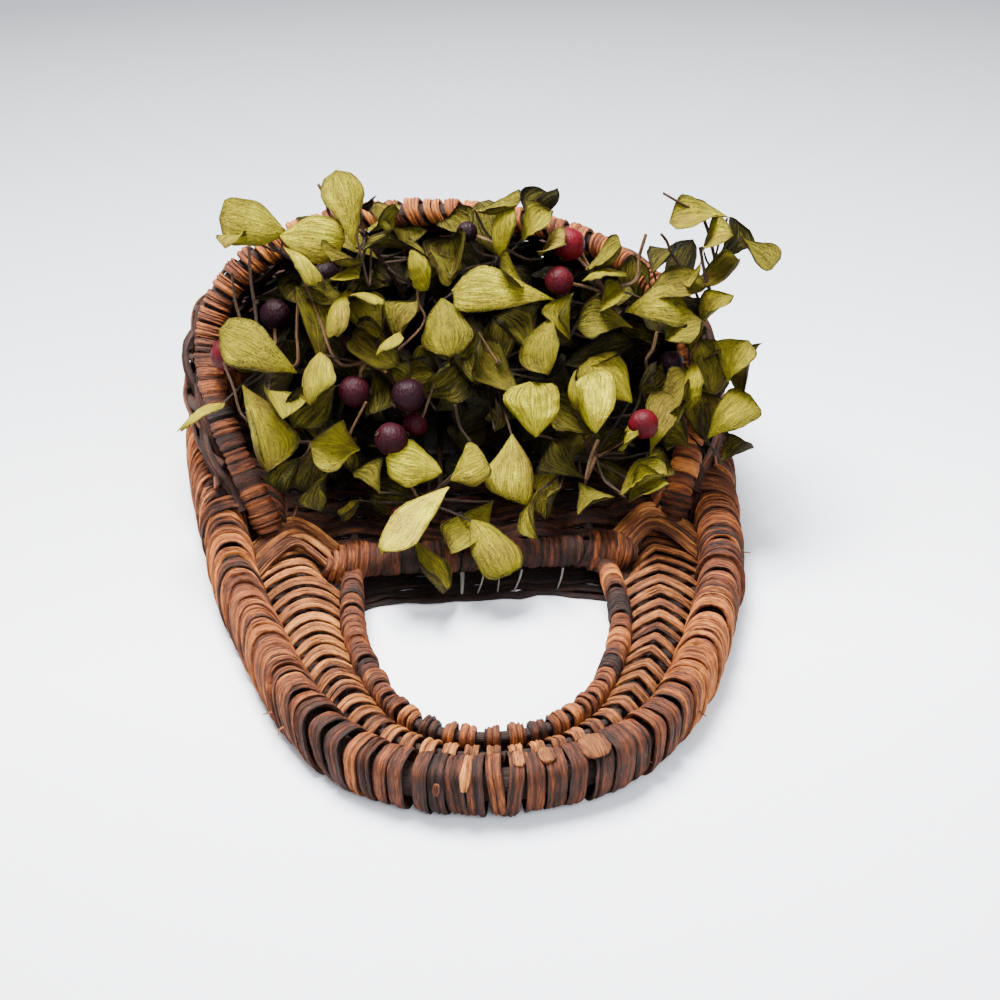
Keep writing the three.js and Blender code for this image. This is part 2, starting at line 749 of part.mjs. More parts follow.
const leafPairShares = [0.5, 0.64, 0.79, 0.93];
const heartShare = 0.45;
const lastTurnShare = 0.7;
const berrySides = 7;
const goldenTurn = halfTurn * (3 - Math.sqrt(5));
stems.forEach((stem, own) => {
  const places = stem.line.getSpacedPoints(stemParts);
  let solid = toSolid(sweep(framed(places, () => mouthNormal), () => round(stemWidth, stalkSides)));
  const leaves = leafPairShares.flatMap((share, i) => {
    const base = stem.line.getPointAt(share);
    const along = stem.line.getTangentAt(share);
    const side = along.clone().cross(mouthUp).normalize().applyAxisAngle(along, own + i * goldenTurn);
    return [1, -1].map((way) => {
      const out = along.clone().multiplyScalar(leafSplayShare).addScaledVector(side, way).normalize();
      return grownLeaf(base, out, own, leafTwist * way);
    });
  });
  const end = stem.line.getTangentAt(1);
  const outward = stem.tip.clone().sub(foliageAt([0, heartShare, 0])).normalize();
  const last = end.clone().lerp(outward, lastTurnShare).normalize();
  leaves.push(grownLeaf(stem.tip.clone().addScaledVector(end, -stemWidth / 2), last, own, 0));
  leaves.filter((leaf) => leaf).forEach((leaf) => {
    solid = solid.add(leaf);
  });
  add(`leaf_spray_${own + 1}`, fromSolid(solid.trimByPlane([0, 0, 1], padTop + gap)), leafGreen);
});
berries.forEach(({ centre, foot }, i) => {
  const ball = new THREE.SphereGeometry(berryWidth / 2, berrySides, thinSides);
  ball.translate(centre.x, centre.y, centre.z);
  const pedicel = sweep(framed([centre, foot], () => mouthNormal), () => round(pedicelWidth, stalkSides));
  add(`berry_${i + 1}`, fromSolid(toSolid(ball).add(toSolid(pedicel))), berryRed);
});

export default basket;
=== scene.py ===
import math

import bmesh
import bpy
import numpy as np
from mathutils import Matrix, Vector

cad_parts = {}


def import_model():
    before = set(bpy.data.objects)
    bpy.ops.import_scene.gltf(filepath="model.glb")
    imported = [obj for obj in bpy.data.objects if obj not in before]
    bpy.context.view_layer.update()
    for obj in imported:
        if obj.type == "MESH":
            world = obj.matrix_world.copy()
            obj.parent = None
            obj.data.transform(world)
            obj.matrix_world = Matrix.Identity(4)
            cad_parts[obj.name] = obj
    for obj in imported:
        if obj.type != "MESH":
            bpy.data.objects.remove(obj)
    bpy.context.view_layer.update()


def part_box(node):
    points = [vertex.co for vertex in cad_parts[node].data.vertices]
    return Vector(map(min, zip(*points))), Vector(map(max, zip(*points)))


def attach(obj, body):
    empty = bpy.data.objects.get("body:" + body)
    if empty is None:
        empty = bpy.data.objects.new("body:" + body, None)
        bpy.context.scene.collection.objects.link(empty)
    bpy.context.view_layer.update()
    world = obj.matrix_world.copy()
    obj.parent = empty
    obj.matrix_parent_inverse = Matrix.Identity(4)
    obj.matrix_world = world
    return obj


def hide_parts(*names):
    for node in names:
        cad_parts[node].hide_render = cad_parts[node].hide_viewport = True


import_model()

# Lengths are millimetres in the CAD frame until a mesh is made
MM = 0.001
rng = np.random.default_rng(11)

# The frame's own sizes, as the part has them
HOOP_HALF_WIDTH, HOOP_LENGTH = 79.5, 231.0
HOOP_WIDE, HOOP_TALL, HOOP_LIFT = 14.0, 17.6, 8.3
HOOP_SHARES = [
    (0, 0), (0.3, 0.018), (0.516, 0.063), (0.66, 0.128), (0.75, 0.195), (0.84, 0.287), (0.91, 0.38),
    (0.95, 0.5), (0.99, 0.62), (1, 0.73), (0.93, 0.84), (0.72, 0.935), (0.39, 0.985), (0, 1),
]
RING_SHARES = [(0, 0), (0.42, 0.05), (0.7, 0.18), (0.88, 0.38), (0.98, 0.58), (1, 0.75), (0.97, 1)]
GRIP_BAND, HANDLE_REACH, HOLE_HALF_WIDTH = 17.4, 97.0, 39.3
RING_LIFT, MIDDLE_LIFT, BAR_LIFT = 9.6, 9.2, 10.6
RING_WIDTH, BAR_WIDTH, RIM_WIDTH = 7.5, 10.3, 9.2
MOUTH_FOOT, MOUTH_FOOT_HALF, MOUTH_FOOT_LIFT = 112.0, 62.5, 14.0
MOUTH_RISE, MOUTH_DEPTH, MOUTH_BULGE, MOUTH_LEAN = 64.5, 72.0, 28.5, 12.0
HANDLE_LEAN = 1.8
HOOP_TOP = 17.1
COURSE_FOOT_LIFT = HOOP_TOP + 0.6
LAST_COURSE_FOOT = 198.0
STAKE_LIFT, STAKE_PITCH = 5.6, 18.0
BACK_START, BACK_END, ROW_PITCH = 113.0, 199.4, 14.4
PAD_PLACE, PAD_TOP, PAD_FLOOR = 168.0, 13.4, 9.3
PAD_HALF_WIDTH, PAD_HALF_LENGTH = 45, 19.4

# The photograph's camera
CAMERA_AZIMUTH, CAMERA_ELEVATION = math.radians(-4), math.radians(38)
CAMERA_AWAY, CAMERA_ANGLE = 800.0, math.radians(21.1)
CAMERA_TARGET = np.array([7.72, 98.63, 30.0])
IMAGE_SIZE = 1000

UP = np.array([0.0, 0.0, 1.0])


def unit(v):
    v = np.asarray(v, float)
    return v / np.maximum(np.linalg.norm(v, axis=-1, keepdims=True), 1e-9)


def mix(a, b, share):
    return a + (b - a) * share


def smooth(share):
    share = np.clip(share, 0, 1)
    return share * share * (3 - 2 * share)


def boxed(value, power):
    return np.sign(value) * np.abs(value) ** power


def leaning(places):
    """The hand-made lean of the handle and the mouth"""
    out = np.array(places, float)
    height = np.clip((out[..., 2] - HOOP_TOP) / MOUTH_RISE, 0, 1)
    out[..., 0] += HANDLE_LEAN * np.sin(2 * np.pi * out[..., 1] / HOOP_LENGTH) - MOUTH_LEAN * height**2
    return out


def spline(points, closed=False, fine=16):
    """A smooth centripetal curve through the points"""
    points = np.asarray(points, float)
    if closed:
        held = np.vstack([points[-1:], points, points[:2]])
    else:
        held = np.vstack([2 * points[0] - points[1], points, 2 * points[-1] - points[-2]])
    out = []
    for i in range(len(held) - 3):
        p = held[i:i + 4]
        steps = [max(np.linalg.norm(p[k + 1] - p[k]) ** 0.5, 1e-4) for k in range(3)]
        t = np.concatenate([[0], np.cumsum(steps)])
        u = np.linspace(t[1], t[2], fine, endpoint=False)[:, None]
        a = [(t[k + 1] - u) / steps[k] * p[k] + (u - t[k]) / steps[k] * p[k + 1] for k in range(3)]
        b = [((t[k + 2] - u) * a[k] + (u - t[k]) * a[k + 1]) / (t[k + 2] - t[k]) for k in range(2)]
        out.append((t[2] - u) / steps[1] * b[0] + (u - t[1]) / steps[1] * b[1])
    out.append(out[0][:1] if closed else points[-1:])
    return np.vstack(out)


def run_length(places):
    return np.concatenate([[0], np.cumsum(np.linalg.norm(np.diff(places, axis=0), axis=1))])


class Line:
    """A curve that is read by the length along it"""

    def __init__(self, places, closed=False):
        self.places = np.asarray(places, float)
        self.marks = run_length(self.places)
        self.length = self.marks[-1]
        self.closed = closed

    def at(self, s):
        s = np.mod(s, self.length) if self.closed else np.clip(s, 0, self.length)
        return np.stack([np.interp(s, self.marks, self.places[:, k]) for k in range(3)], axis=-1)

    def way(self, s, step=0.6):
        return unit(self.at(np.asarray(s) + step) - self.at(np.asarray(s) - step))

    def even(self, count):
        return self.at(np.linspace(0, self.length, count))

    def nearest(self, place):
        return self.places[np.argmin(np.linalg.norm(self.places - place, axis=1))]


def mirrored(shares, half_width, start, span, lift):
    right = np.array([(x * half_width, start + y * span, lift) for x, y in shares])
    left = right[1:][::-1] * [-1, 1, 1]
    return np.vstack([left, right])


# The lines that the rods follow
hoop_ring = mirrored(HOOP_SHARES, HOOP_HALF_WIDTH, 0, HOOP_LENGTH, HOOP_LIFT)
hoop_start = len(HOOP_SHARES) - 1
hoop = Line(spline(np.vstack([hoop_ring[hoop_start:], hoop_ring[1:hoop_start]]), closed=True), closed=True)
bar_half = HOLE_HALF_WIDTH + RING_WIDTH / 2
bar = Line(spline([(x * bar_half, HANDLE_REACH, BAR_LIFT) for x in (-1, -0.5, 0, 0.5, 1)]))
ring_span = HANDLE_REACH - BAR_WIDTH / 2 - 0.4 - GRIP_BAND
ring = Line(spline(mirrored(RING_SHARES, HOLE_HALF_WIDTH, GRIP_BAND, ring_span, RING_LIFT)))


def middle_line():
    places = ring.even(121)
    handle = []
    for i in range(7):
        inner = places[60 + 10 * i] * [1, 1, 0] + [0, 0, HOOP_LIFT]
        outer = hoop.nearest(inner)
        share = (1 + (RING_WIDTH - HOOP_WIDE) / (2 * np.linalg.norm(outer - inner))) / 2
        handle.append(mix(inner, outer, share) * [1, 1, 0] + [0, 0, MIDDLE_LIFT])
    leg = handle[-1][0]
    legs = [(leg, y, STAKE_LIFT) for y in (BACK_START, (BACK_START + BACK_END) / 2, BACK_END - ROW_PITCH)]
    right = np.vstack([handle, legs])
    return Line(spline(np.vstack([right[1:][::-1] * [-1, 1, 1], right])))


middle = middle_line()

hoop_half = hoop.even(401)[:201]


def hoop_reach(y):
    """Half the hoop's width where it passes y, on the wide side"""
    found = 0.0
    for a, b in zip(hoop_half, hoop_half[1:]):
        if (a[1] - y) * (b[1] - y) <= 0 and a[1] != b[1]:
            found = max(found, mix(a[0], b[0], (y - a[1]) / (b[1] - a[1])))
    return found


def belly(share):
    return share * share + 2 * 0.62 * share * (1 - share)


def front_at(course, turn):
    """The pocket's bellied front: course 0 is the mouth and 1 the foot, turn runs right to left"""
    turn = np.asarray(turn, float)
    foot_y = mix(MOUTH_FOOT, LAST_COURSE_FOOT, course)
    blend = (1 - course) ** 16
    foot_x = mix(hoop_reach(foot_y), MOUTH_FOOT_HALF, blend)
    foot_z = mix(COURSE_FOOT_LIFT, MOUTH_FOOT_LIFT, blend)
    apex_y = mix(MOUTH_FOOT + MOUTH_DEPTH, HOOP_LENGTH, belly(course))
    apex_z = mix(COURSE_FOOT_LIFT, MOUTH_FOOT_LIFT + MOUTH_RISE, belly(1 - course))
    sine = np.clip(np.sin(turn), 0, 1)
    rise = sine**1.1
    bulge = MOUTH_BULGE * (1 - course) ** 1.1 * np.sin(2 * turn) * sine**0.3
    x = np.cos(turn) * foot_x + bulge
    return np.stack([x, mix(foot_y, apex_y, rise), mix(foot_z, apex_z, rise)], axis=-1)


def front_normal(course, turn):
    step = 0.012
    turn = np.asarray(turn, float)
    on = front_at(min(course + step, 1), turn) - front_at(max(course - step, 0), turn)
    over = front_at(course, np.minimum(turn + step, np.pi)) - front_at(course, np.maximum(turn - step, 0))
    normal = unit(np.cross(on, over))
    outward = front_at(course, turn) - [0, (MOUTH_FOOT + HOOP_LENGTH) / 2, HOOP_LIFT]
    return np.where((normal * outward).sum(-1, keepdims=True) < 0, -normal, normal)


rim = Line(front_at(0.0, np.linspace(0.02, np.pi - 0.02, 240)))
MOUTH_NORMAL = unit([0, -MOUTH_RISE, MOUTH_DEPTH])
MOUTH_UP = unit([0, MOUTH_DEPTH, MOUTH_RISE])
MOUTH_SLOPE = math.hypot(MOUTH_RISE, MOUTH_DEPTH)


class Skin:
    """Closed strips, rods and leaves gathered into one mesh, with grain and tone kept on its points"""

    def __init__(self):
        self.places, self.faces, self.grain, self.tone, self.finish = [], [], [], [], []
        self.count = 0

    def add(self, rings, grain, tone, finish=0, closed=False):
        """rings is rows by sides by 3; a side loop has an even number of points"""
        rows, sides = rings.shape[:2]
        index = self.count + np.arange(rows * sides).reshape(rows, sides)
        after = np.roll(index, -1, axis=1)
        following = np.roll(index, -1, axis=0)
        beyond = np.roll(after, -1, axis=0)
        quads = np.stack([index, after, beyond, following], axis=-1)
        quads = quads if closed else quads[:-1]
        faces = [quads.reshape(-1, 4)]
        if not closed:
            j = np.arange(sides // 2 - 1)
            cap = np.stack([j, sides - 1 - j, sides - 2 - j, j + 1], axis=-1)
            faces += [index[0][cap], index[-1][cap[:, ::-1]]]
        faces = np.vstack(faces)
        self.places.append(rings.reshape(-1, 3))
        self.faces.append(faces)
        self.grain.append(np.broadcast_to(grain, rings.shape).reshape(-1, 3))
        self.tone.append(np.broadcast_to(tone, (rows, sides)).reshape(-1))
        self.finish.append(np.full(len(faces), finish))
        self.count += rows * sides

    def place(self, name, slot, *nodes, look=None, sharp=40):
        """Makes the piece and has it take the place of those CAD nodes"""
        mesh = bpy.data.meshes.new(name)
        places = np.vstack(self.places) * MM
        faces = np.vstack(self.faces)
        mesh.vertices.add(len(places))
        mesh.vertices.foreach_set("co", places.ravel())
        mesh.loops.add(faces.size)
        mesh.loops.foreach_set("vertex_index", faces.ravel())
        mesh.polygons.add(len(faces))
        mesh.polygons.foreach_set("loop_start", np.arange(0, faces.size, 4))
        mesh.polygons.foreach_set("material_index", np.concatenate(self.finish))
        mesh.update(calc_edges=True)
        mesh.validate()
        grain = mesh.attributes.new("grain", "FLOAT_VECTOR", "POINT")
        grain.data.foreach_set("vector", np.vstack(self.grain).astype(np.float32).ravel())
        tone = mesh.attributes.new("tone", "FLOAT", "POINT")
        tone.data.foreach_set("value", np.concatenate(self.tone).astype(np.float32))
        shape = bmesh.new()
        shape.from_mesh(mesh)
        bmesh.ops.recalc_face_normals(shape, faces=shape.faces)
        shape.to_mesh(mesh)
        shape.free()
        mesh.polygons.foreach_set("use_smooth", np.ones(len(mesh.polygons), bool))
        mesh.set_sharp_from_angle(angle=math.radians(sharp))
        for material in look or LOOKS[slot]:
            mesh.materials.append(material)
        piece = bpy.data.objects.new(name, mesh)
        bpy.context.scene.collection.objects.link(piece)
        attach(piece, "root")
        if nodes:
            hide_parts(*nodes)


def wander(count, size, steps):
    """Slow random drift with about that many steps along it"""
    knots = rng.normal(0, size, steps + 1)
    return np.interp(np.linspace(0, steps, count), np.arange(steps + 1), knots)


def grained(rings, across, along):
    """Where each point lies on its strip, in millimetres, with a place of its own in the noise"""
    grain = np.zeros(rings.shape)
    grain[..., 0] = across
    grain[..., 1] = along
    grain[..., 2] = rng.uniform(0, 900)
    return grain


def ribbon(skin, centre, normal, width, thick, tone, grooves=1, lean=0.0, ridge=0.13, lanes=7,
           flat_floor=False, streak=0.07):
    """A bark strip: ridged on top, with grooves along it and ragged edges, and painted shade in its grooves,
    at its edges and underneath
    """
    rows = len(centre)
    along = unit(np.gradient(centre, axis=0))
    across = unit(np.cross(along, normal))
    normal = unit(np.cross(across, along))
    share = np.linspace(-1, 1, lanes)
    width = np.asarray(width) * (1 + wander(rows, 0.035, 5))
    height = rng.normal(0, ridge, lanes) + 0.10 * (1 - share**2)
    for lane in rng.integers(1, lanes - 1, grooves):
        height[lane] -= rng.uniform(0.25, 0.5)
    height = height[None, :] + rng.normal(0, 0.04, (rows, lanes))
    height[:, [0, -1]] -= 0.28
    a = share[None, :] * (width[:, None] / 2)
    tilt = lean * share[None, :]
    top = centre[:, None] + across[:, None] * a[..., None] + normal[:, None] * (height + tilt)[..., None]
    under = centre[:, None] + across[:, None] * (a * 0.94)[..., None]
    under = under + normal[:, None] * (tilt - thick)[..., None]
    rings = np.concatenate([top, under[:, ::-1]], axis=1)
    if flat_floor:
        rings[..., 2] = np.maximum(rings[..., 2], 0.05)
    grain = grained(rings, np.concatenate([a, a[:, ::-1]], axis=1), run_length(centre)[:, None])
    # Lanes sunk below the strip, its two edges and its underside are darkened: painted shade; the random
    # streaks are the bark's own tone
    shade = rng.normal(0, streak, lanes) + np.minimum(height.mean(axis=0), 0) * 0.5
    shade[[0, -1]] -= 0.08
    tones = tone + np.concatenate([shade, shade[::-1] - 0.1])[None, :] + wander(rows, 0.05, 4)[:, None]
    skin.add(leaning(rings), grain, np.clip(tones, 0, 1))


def rod(skin, places, width, tone, sides=12, finish=0, leans=True, ends=(1.0, 1.0), closed=False):
    """A round rod or stem along the places, slightly uneven, with tapering ends"""
    rows = len(places)
    along = unit(np.gradient(places, axis=0))
    if closed:
        along = unit(np.roll(places, -1, axis=0) - np.roll(places, 1, axis=0))
    side = unit(np.cross(along, unit(UP + 0.01)))
    over = unit(np.cross(side, along))
    turn = np.linspace(0, 2 * np.pi, sides, endpoint=False) + 0.5 * 2 * np.pi / sides
    radius = width / 2 * (1 + wander(rows, 0.03, max(rows // 3, 1))) * np.linspace(ends[0], ends[1], rows)
    rings = places[:, None] + radius[:, None, None] * (
        side[:, None] * np.cos(turn)[None, :, None] + over[:, None] * np.sin(turn)[None, :, None])
    grain = grained(rings, turn[None, :] * width / 2, run_length(places)[:, None])
    skin.add(leaning(rings) if leans else rings, grain, tone, finish=finish, closed=closed)


def wind(skin, line, s, half, power, tilt, width, thick, tone, up=UP, turns=1.03, start=-0.5, rows=30,
         **looks):
    """One turn of a bark strip round a rod: half is the turn's half width and half height"""
    wide, tall = half
    turn = 2 * np.pi * (start * 0.5 + np.linspace(0, turns, rows))
    where = s + tilt * np.sin(turn)
    centre, along = line.at(where), line.way(where)
    rise = unit(up - along * (along * up).sum(-1, keepdims=True))
    across = np.cross(along, rise)
    side, lift = boxed(np.cos(turn), power), boxed(np.sin(turn), power)
    places = centre + across * (side * wide)[:, None] + rise * (lift * tall)[:, None]
    normal = unit(across * (boxed(np.cos(turn), 2 - power) / wide)[:, None]
                  + rise * (boxed(np.sin(turn), 2 - power) / tall)[:, None])
    ribbon(skin, places, normal, width, thick, tone, **looks)


# Materials
class Graph:
    """A node tree with short ways to add to it"""

    def __init__(self, owner):
        owner.use_nodes = True
        self.nodes, self.links = owner.node_tree.nodes, owner.node_tree.links

    def new(self, kind, output, feeds, **settings):
        """A node with its settings and its inputs, as the output that is asked for"""
        node = self.nodes.new("ShaderNode" + kind)
        for name, value in settings.items():
            setattr(node, name, value)
        for name, value in feeds.items():
            if isinstance(value, bpy.types.NodeSocket):
                self.links.new(value, node.inputs[name])
            else:
                node.inputs[name].default_value = value
        return node.outputs[output]

    def maths(self, kind, a, b):
        return self.new("Math", "Value", {0: a, 1: b}, operation=kind)

    def ramp(self, value, stops):
        node = self.nodes.new("ShaderNodeValToRGB")
        colours = node.color_ramp
        while len(colours.elements) < len(stops):
            colours.elements.new(0.5)
        for element, (share, colour) in zip(colours.elements, stops):
            element.position = share
            element.color = (*colour, 1)
        self.links.new(value, node.inputs["Fac"])
        return node.outputs["Color"]


class Finish(Graph):
    """A principled material that reads the grain and the tone kept on the points"""

    def __init__(self, name, roughness, specular):
        self.material = bpy.data.materials.new(name)
        super().__init__(self.material)
        self.bsdf = self.nodes["Principled BSDF"].inputs
        self.bsdf["Roughness"].default_value = roughness
        self.bsdf["Specular IOR Level"].default_value = specular

    def noise(self, detail, stretch=(1, 1, 1), scale=1.0):
        grain = self.new("Attribute", "Vector", {}, attribute_name="grain")
        stretched = self.new("Mapping", "Vector", {"Vector": grain, "Scale": stretch})
        return self.new("TexNoise", "Fac", {"Vector": stretched, "Scale": scale, "Detail": detail})

    def toned(self, layers, less):
        """The tone plus each noise times its share, less an offset"""
        value = self.new("Attribute", "Fac", {}, attribute_name="tone")
        for noise, share in layers:
            value = self.maths("ADD", value, self.maths("MULTIPLY", noise, share))
        return self.maths("SUBTRACT", value, less)

    def done(self, colour, bumps=()):
        """The material in that colour; each bump is (height, distance in metres, strength)"""
        self.links.new(colour, self.bsdf["Base Color"])
        below = {}
        for height, distance, strength in bumps:
            feeds = {"Height": height, "Distance": distance, "Strength": strength} | below
            below = {"Normal": self.new("Bump", "Normal", feeds)}
        if below:
            self.links.new(below["Normal"], self.bsdf["Normal"])
        return self.material


def bark(name, stops):
    """Split bark: fibres along the strip, blotches, and a tone of its own for each strip"""
    look = Finish(name, roughness=0.72, specular=0.25)
    fibre = look.noise(6.0, (2.6, 0.22, 0.37))
    thread = look.noise(3.0, (7.0, 0.5, 0.61))
    blotch = look.noise(3.0, (0.35, 0.16, 0.23))
    value = look.toned([(fibre, 0.9), (blotch, 0.6), (thread, 0.5)], 1.0)
    return look.done(look.ramp(value, stops), [(fibre, 0.0012, 1.0), (thread, 0.0005, 0.9)])


def leaf_finish():
    """Preserved leaf: nearly matte, finely crinkled along its veins, each leaf with its own tone"""
    look = Finish("leaf", roughness=0.68, specular=0.07)
    vein = look.noise(5.0, (1.7, 0.17, 0.31))
    crepe = look.noise(3.0, (3.5, 2.2, 0.47))
    blotch = look.noise(3.0, (0.16, 0.2, 0.29))
    value = look.toned([(vein, 0.8), (crepe, 0.3), (blotch, 0.34)], 0.74)
    aged = look.ramp(look.noise(2.0, (0.05, 0.05, 0.41)), [(0.5, (0, 0, 0)), (0.7, (0.8, 0.8, 0.8))])
    fresh, dry = look.ramp(value, LEAF_STOPS), look.ramp(value, DRY_STOPS)
    colour = look.new("MixRGB", "Color", {0: aged, 1: fresh, 2: dry})
    return look.done(colour, [(vein, 0.003, 1.0), (crepe, 0.0007, 0.9)])


def berry_finish():
    look = Finish("berry", roughness=0.5, specular=0.09)
    value = look.toned([(look.noise(4.0, scale=0.3), 0.5)], 0.25)
    return look.done(look.ramp(value, BERRY_STOPS), [(look.noise(4.0, (1.4, 0.5, 1.0)), 0.0008, 0.6)])


def glue_finish(name, shade):
    look = Finish(name, roughness=0.4, specular=0.3)
    cloud = look.noise(3.0, scale=0.2)
    stops = [(share, [shade * part for part in colour]) for share, colour in GLUE_STOPS]
    return look.done(look.ramp(cloud, stops), [(cloud, 0.0008, 0.4)])


DARK_STOPS = [
    (0.0, (0.0053, 0.0013, 0.0005)), (0.25, (0.0254, 0.006, 0.0015)), (0.5, (0.089, 0.0197, 0.0037)),
    (0.72, (0.212, 0.0549, 0.0094)), (1.0, (0.424, 0.1414, 0.0243)),
]
TAN_STOPS = [
    (0.0, (0.01, 0.0024, 0.0005)), (0.25, (0.06, 0.0146, 0.0028)), (0.5, (0.18, 0.0536, 0.0103)),
    (0.75, (0.35, 0.1217, 0.0257)), (1.0, (0.54, 0.219, 0.0515)),
]
# The vine ramp runs nearly to black: the rods' own dark colour, deepened as painted shade in the gaps of the
# strips wound over them
VINE_STOPS = [(0.0, (0.005, 0.002, 0.0015)), (0.5, (0.025, 0.009, 0.005)), (1.0, (0.09, 0.034, 0.016))]
STEM_STOPS = [(0.0, (0.01, 0.006, 0.004)), (0.5, (0.05, 0.026, 0.012)), (1.0, (0.15, 0.075, 0.03))]
LEAF_STOPS = [
    (0.0, (0.004, 0.003, 0.0012)), (0.25, (0.024, 0.0195, 0.003)), (0.5, (0.12, 0.1, 0.009)),
    (0.75, (0.25, 0.212, 0.008)), (1.0, (0.66, 0.57, 0.03)),
]
DRY_STOPS = [
    (0.0, (0.004, 0.003, 0.001)), (0.25, (0.024, 0.016, 0.003)), (0.5, (0.085, 0.057, 0.009)),
    (0.75, (0.19, 0.13, 0.02)), (1.0, (0.36, 0.26, 0.045)),
]
BERRY_STOPS = [
    (0.0, (0.004, 0.0013, 0.0028)), (0.35, (0.009, 0.0013, 0.0034)), (0.7, (0.021, 0.0008, 0.003)),
    (1.0, (0.066, 0.0007, 0.0036)),
]
GLUE_STOPS = [(0.3, (0.09, 0.08, 0.065)), (0.7, (0.22, 0.205, 0.18))]

stem_bark = bark("stem", STEM_STOPS)
LOOKS = {
    "bark_dark": [bark("bark_dark", DARK_STOPS)],
    "bark_tan": [bark("bark_tan", TAN_STOPS)],
    "vine": [bark("vine", VINE_STOPS)],
    "leaf": [leaf_finish(), stem_bark],
    "berry": [berry_finish(), stem_bark],
    "glue": [glue_finish("glue", 0.3)],
}
CLEAR_GLUE = [glue_finish("glue_clear", 0.8)]


# Places in the photograph become places in the object
def camera_frame():
    a, e = CAMERA_AZIMUTH, CAMERA_ELEVATION
    back_way = np.array([math.sin(a) * math.cos(e), -math.cos(a) * math.cos(e), math.sin(e)])
    right_way = unit(np.cross(-back_way, UP))
    return CAMERA_TARGET + back_way * CAMERA_AWAY, back_way, right_way, np.cross(right_way, -back_way)


CAMERA_PLACE, VIEW_BACK, VIEW_RIGHT, VIEW_UP = camera_frame()
FOCAL_PIXELS = IMAGE_SIZE / 2 / math.tan(CAMERA_ANGLE / 2)
MOUTH_ORIGIN = np.array([0, MOUTH_FOOT, MOUTH_FOOT_LIFT])


def seen(x, y, out):
    """The place under a pixel that lies out millimetres outside the plane of the mouth"""
    ray = -VIEW_BACK + (VIEW_RIGHT * (x - IMAGE_SIZE / 2) - VIEW_UP * (y - IMAGE_SIZE / 2)) / FOCAL_PIXELS
    reach = (out - MOUTH_NORMAL @ (CAMERA_PLACE - MOUTH_ORIGIN)) / (MOUTH_NORMAL @ ray)
    return CAMERA_PLACE + ray * reach


def pixel(place):
    """Where the photograph's camera sees a place"""
    away = place - CAMERA_PLACE
    depth = -(away @ VIEW_BACK)
    half = IMAGE_SIZE / 2
    return half + FOCAL_PIXELS * (away @ VIEW_RIGHT) / depth, half - FOCAL_PIXELS * (away @ VIEW_UP) / depth


def on_level(x, y, height):
    """The place under a pixel at that height over the table"""
    ray = -VIEW_BACK + (VIEW_RIGHT * (x - IMAGE_SIZE / 2) - VIEW_UP * (y - IMAGE_SIZE / 2)) / FOCAL_PIXELS
    return CAMERA_PLACE + ray * (height - CAMERA_PLACE[2]) / ray[2]


def strip_places(start, end, narrow, wide, space=0.25):
    """Middles and widths of strips laid side by side from start to end along a line"""
    found, s = [], start
    while s < end:
        width = rng.uniform(narrow, wide)
        found.append((s + width / 2, width))
        s += width + rng.uniform(0, space * 2)
    return found


# Outer hoop: flat strips side by side at the top of the handle, arched and shingled down its sides;
# the sides begin that far from the middle of the top, over that length of change
SIDE_BEGINS, SIDE_CHANGE = 34, 44


def hoop_strips(start, end, name, node):
    skin = Skin()
    s = start
    while s < end:
        side = smooth((min(abs(s), abs(hoop.length - s)) - SIDE_BEGINS) / SIDE_CHANGE)
        left = s < 0 or s > hoop.length / 2
        width = mix(rng.uniform(3.6, 6.0), rng.uniform(2.4, 4.2), side)
        tilt = mix(rng.uniform(0.2, 1.6), rng.uniform(6.5, 9.5) if left else rng.uniform(3.5, 6.5), side)
        tilt = mix(1.2, tilt, smooth((abs(s - hoop.length / 2) - 3) / 45))
        swell = rng.uniform(-0.35, 0.45)
        high = smooth((hoop.at(s)[1] - 45) / 30)
        bright = mix(0.43, mix(0.55, 0.65, high) if left else mix(0.82, 0.49, high), side)
        tone = np.clip(rng.normal(bright, mix(0.12, 0.085, side)), 0.1, 0.95)
        wind(skin, hoop, s + width / 2, (HOOP_WIDE / 2 - 0.5 + swell, HOOP_TALL / 2 - 0.55 + swell),
             mix(0.66, 0.82, side), -tilt if left else tilt, width * mix(1.02, 1.3, side), 1.1, tone,
             turns=1.04, rows=44, grooves=rng.integers(2, 4),
             lean=rng.uniform(0.0, 0.7) * (1 if left else -1), ridge=mix(0.1, 0.2, side), lanes=10,
             flat_floor=True, streak=mix(0.07, 0.12, side))
        open_gap = rng.random() < 0.3 * (1 - side)
        s += width + (rng.uniform(0.9, 1.9) if open_gap else max(0.0, rng.normal(0, 0.25)))
    skin.place(name, "bark_dark", node)


hoop_marks = hoop.even(2001)
handle_end = np.argmax(hoop_marks[:, 1] > MOUTH_FOOT + 4) / 2000 * hoop.length
hoop_strips(-handle_end, handle_end, "hoop_strips_handle", "handle_wrap")
hoop_strips(handle_end, hoop.length - handle_end, "hoop_strips_pocket", "pocket_wrap")


# Pale offcuts on the top of the handle: place along the hoop, width, the two ends of the arc in
# degrees up from the table side, and tone
OFFCUTS = [
    (-8.6, 3.2, 18, 98, 0.78), (5.4, 3.6, 78, 106, 0.62), (13.4, 4.6, 80, 106, 0.5), (-15.5, 2.2, 6, 30, 0.5),
    (26.8, 8.6, 58, 112, 0.42),
]
# Loose fibres that stand off the handle in the photograph, in its pixels: root, then tip
FIBRE_PIXELS = [
    (730, 541, 745, 535), (729, 548, 744, 548), (708, 694, 719, 700), (704, 700, 722, 714),
    (287, 516, 287, 500), (281, 518, 279, 505), (270, 718, 262, 732), (262, 700, 256, 712),
    (207, 480, 196, 486), (292, 520, 297, 506), (664, 505, 672, 495),
]
# Fibres on the pixel rows above the first (if near the hoop) and below the second stand on its side
FIBRE_ROWS = (490, 530)


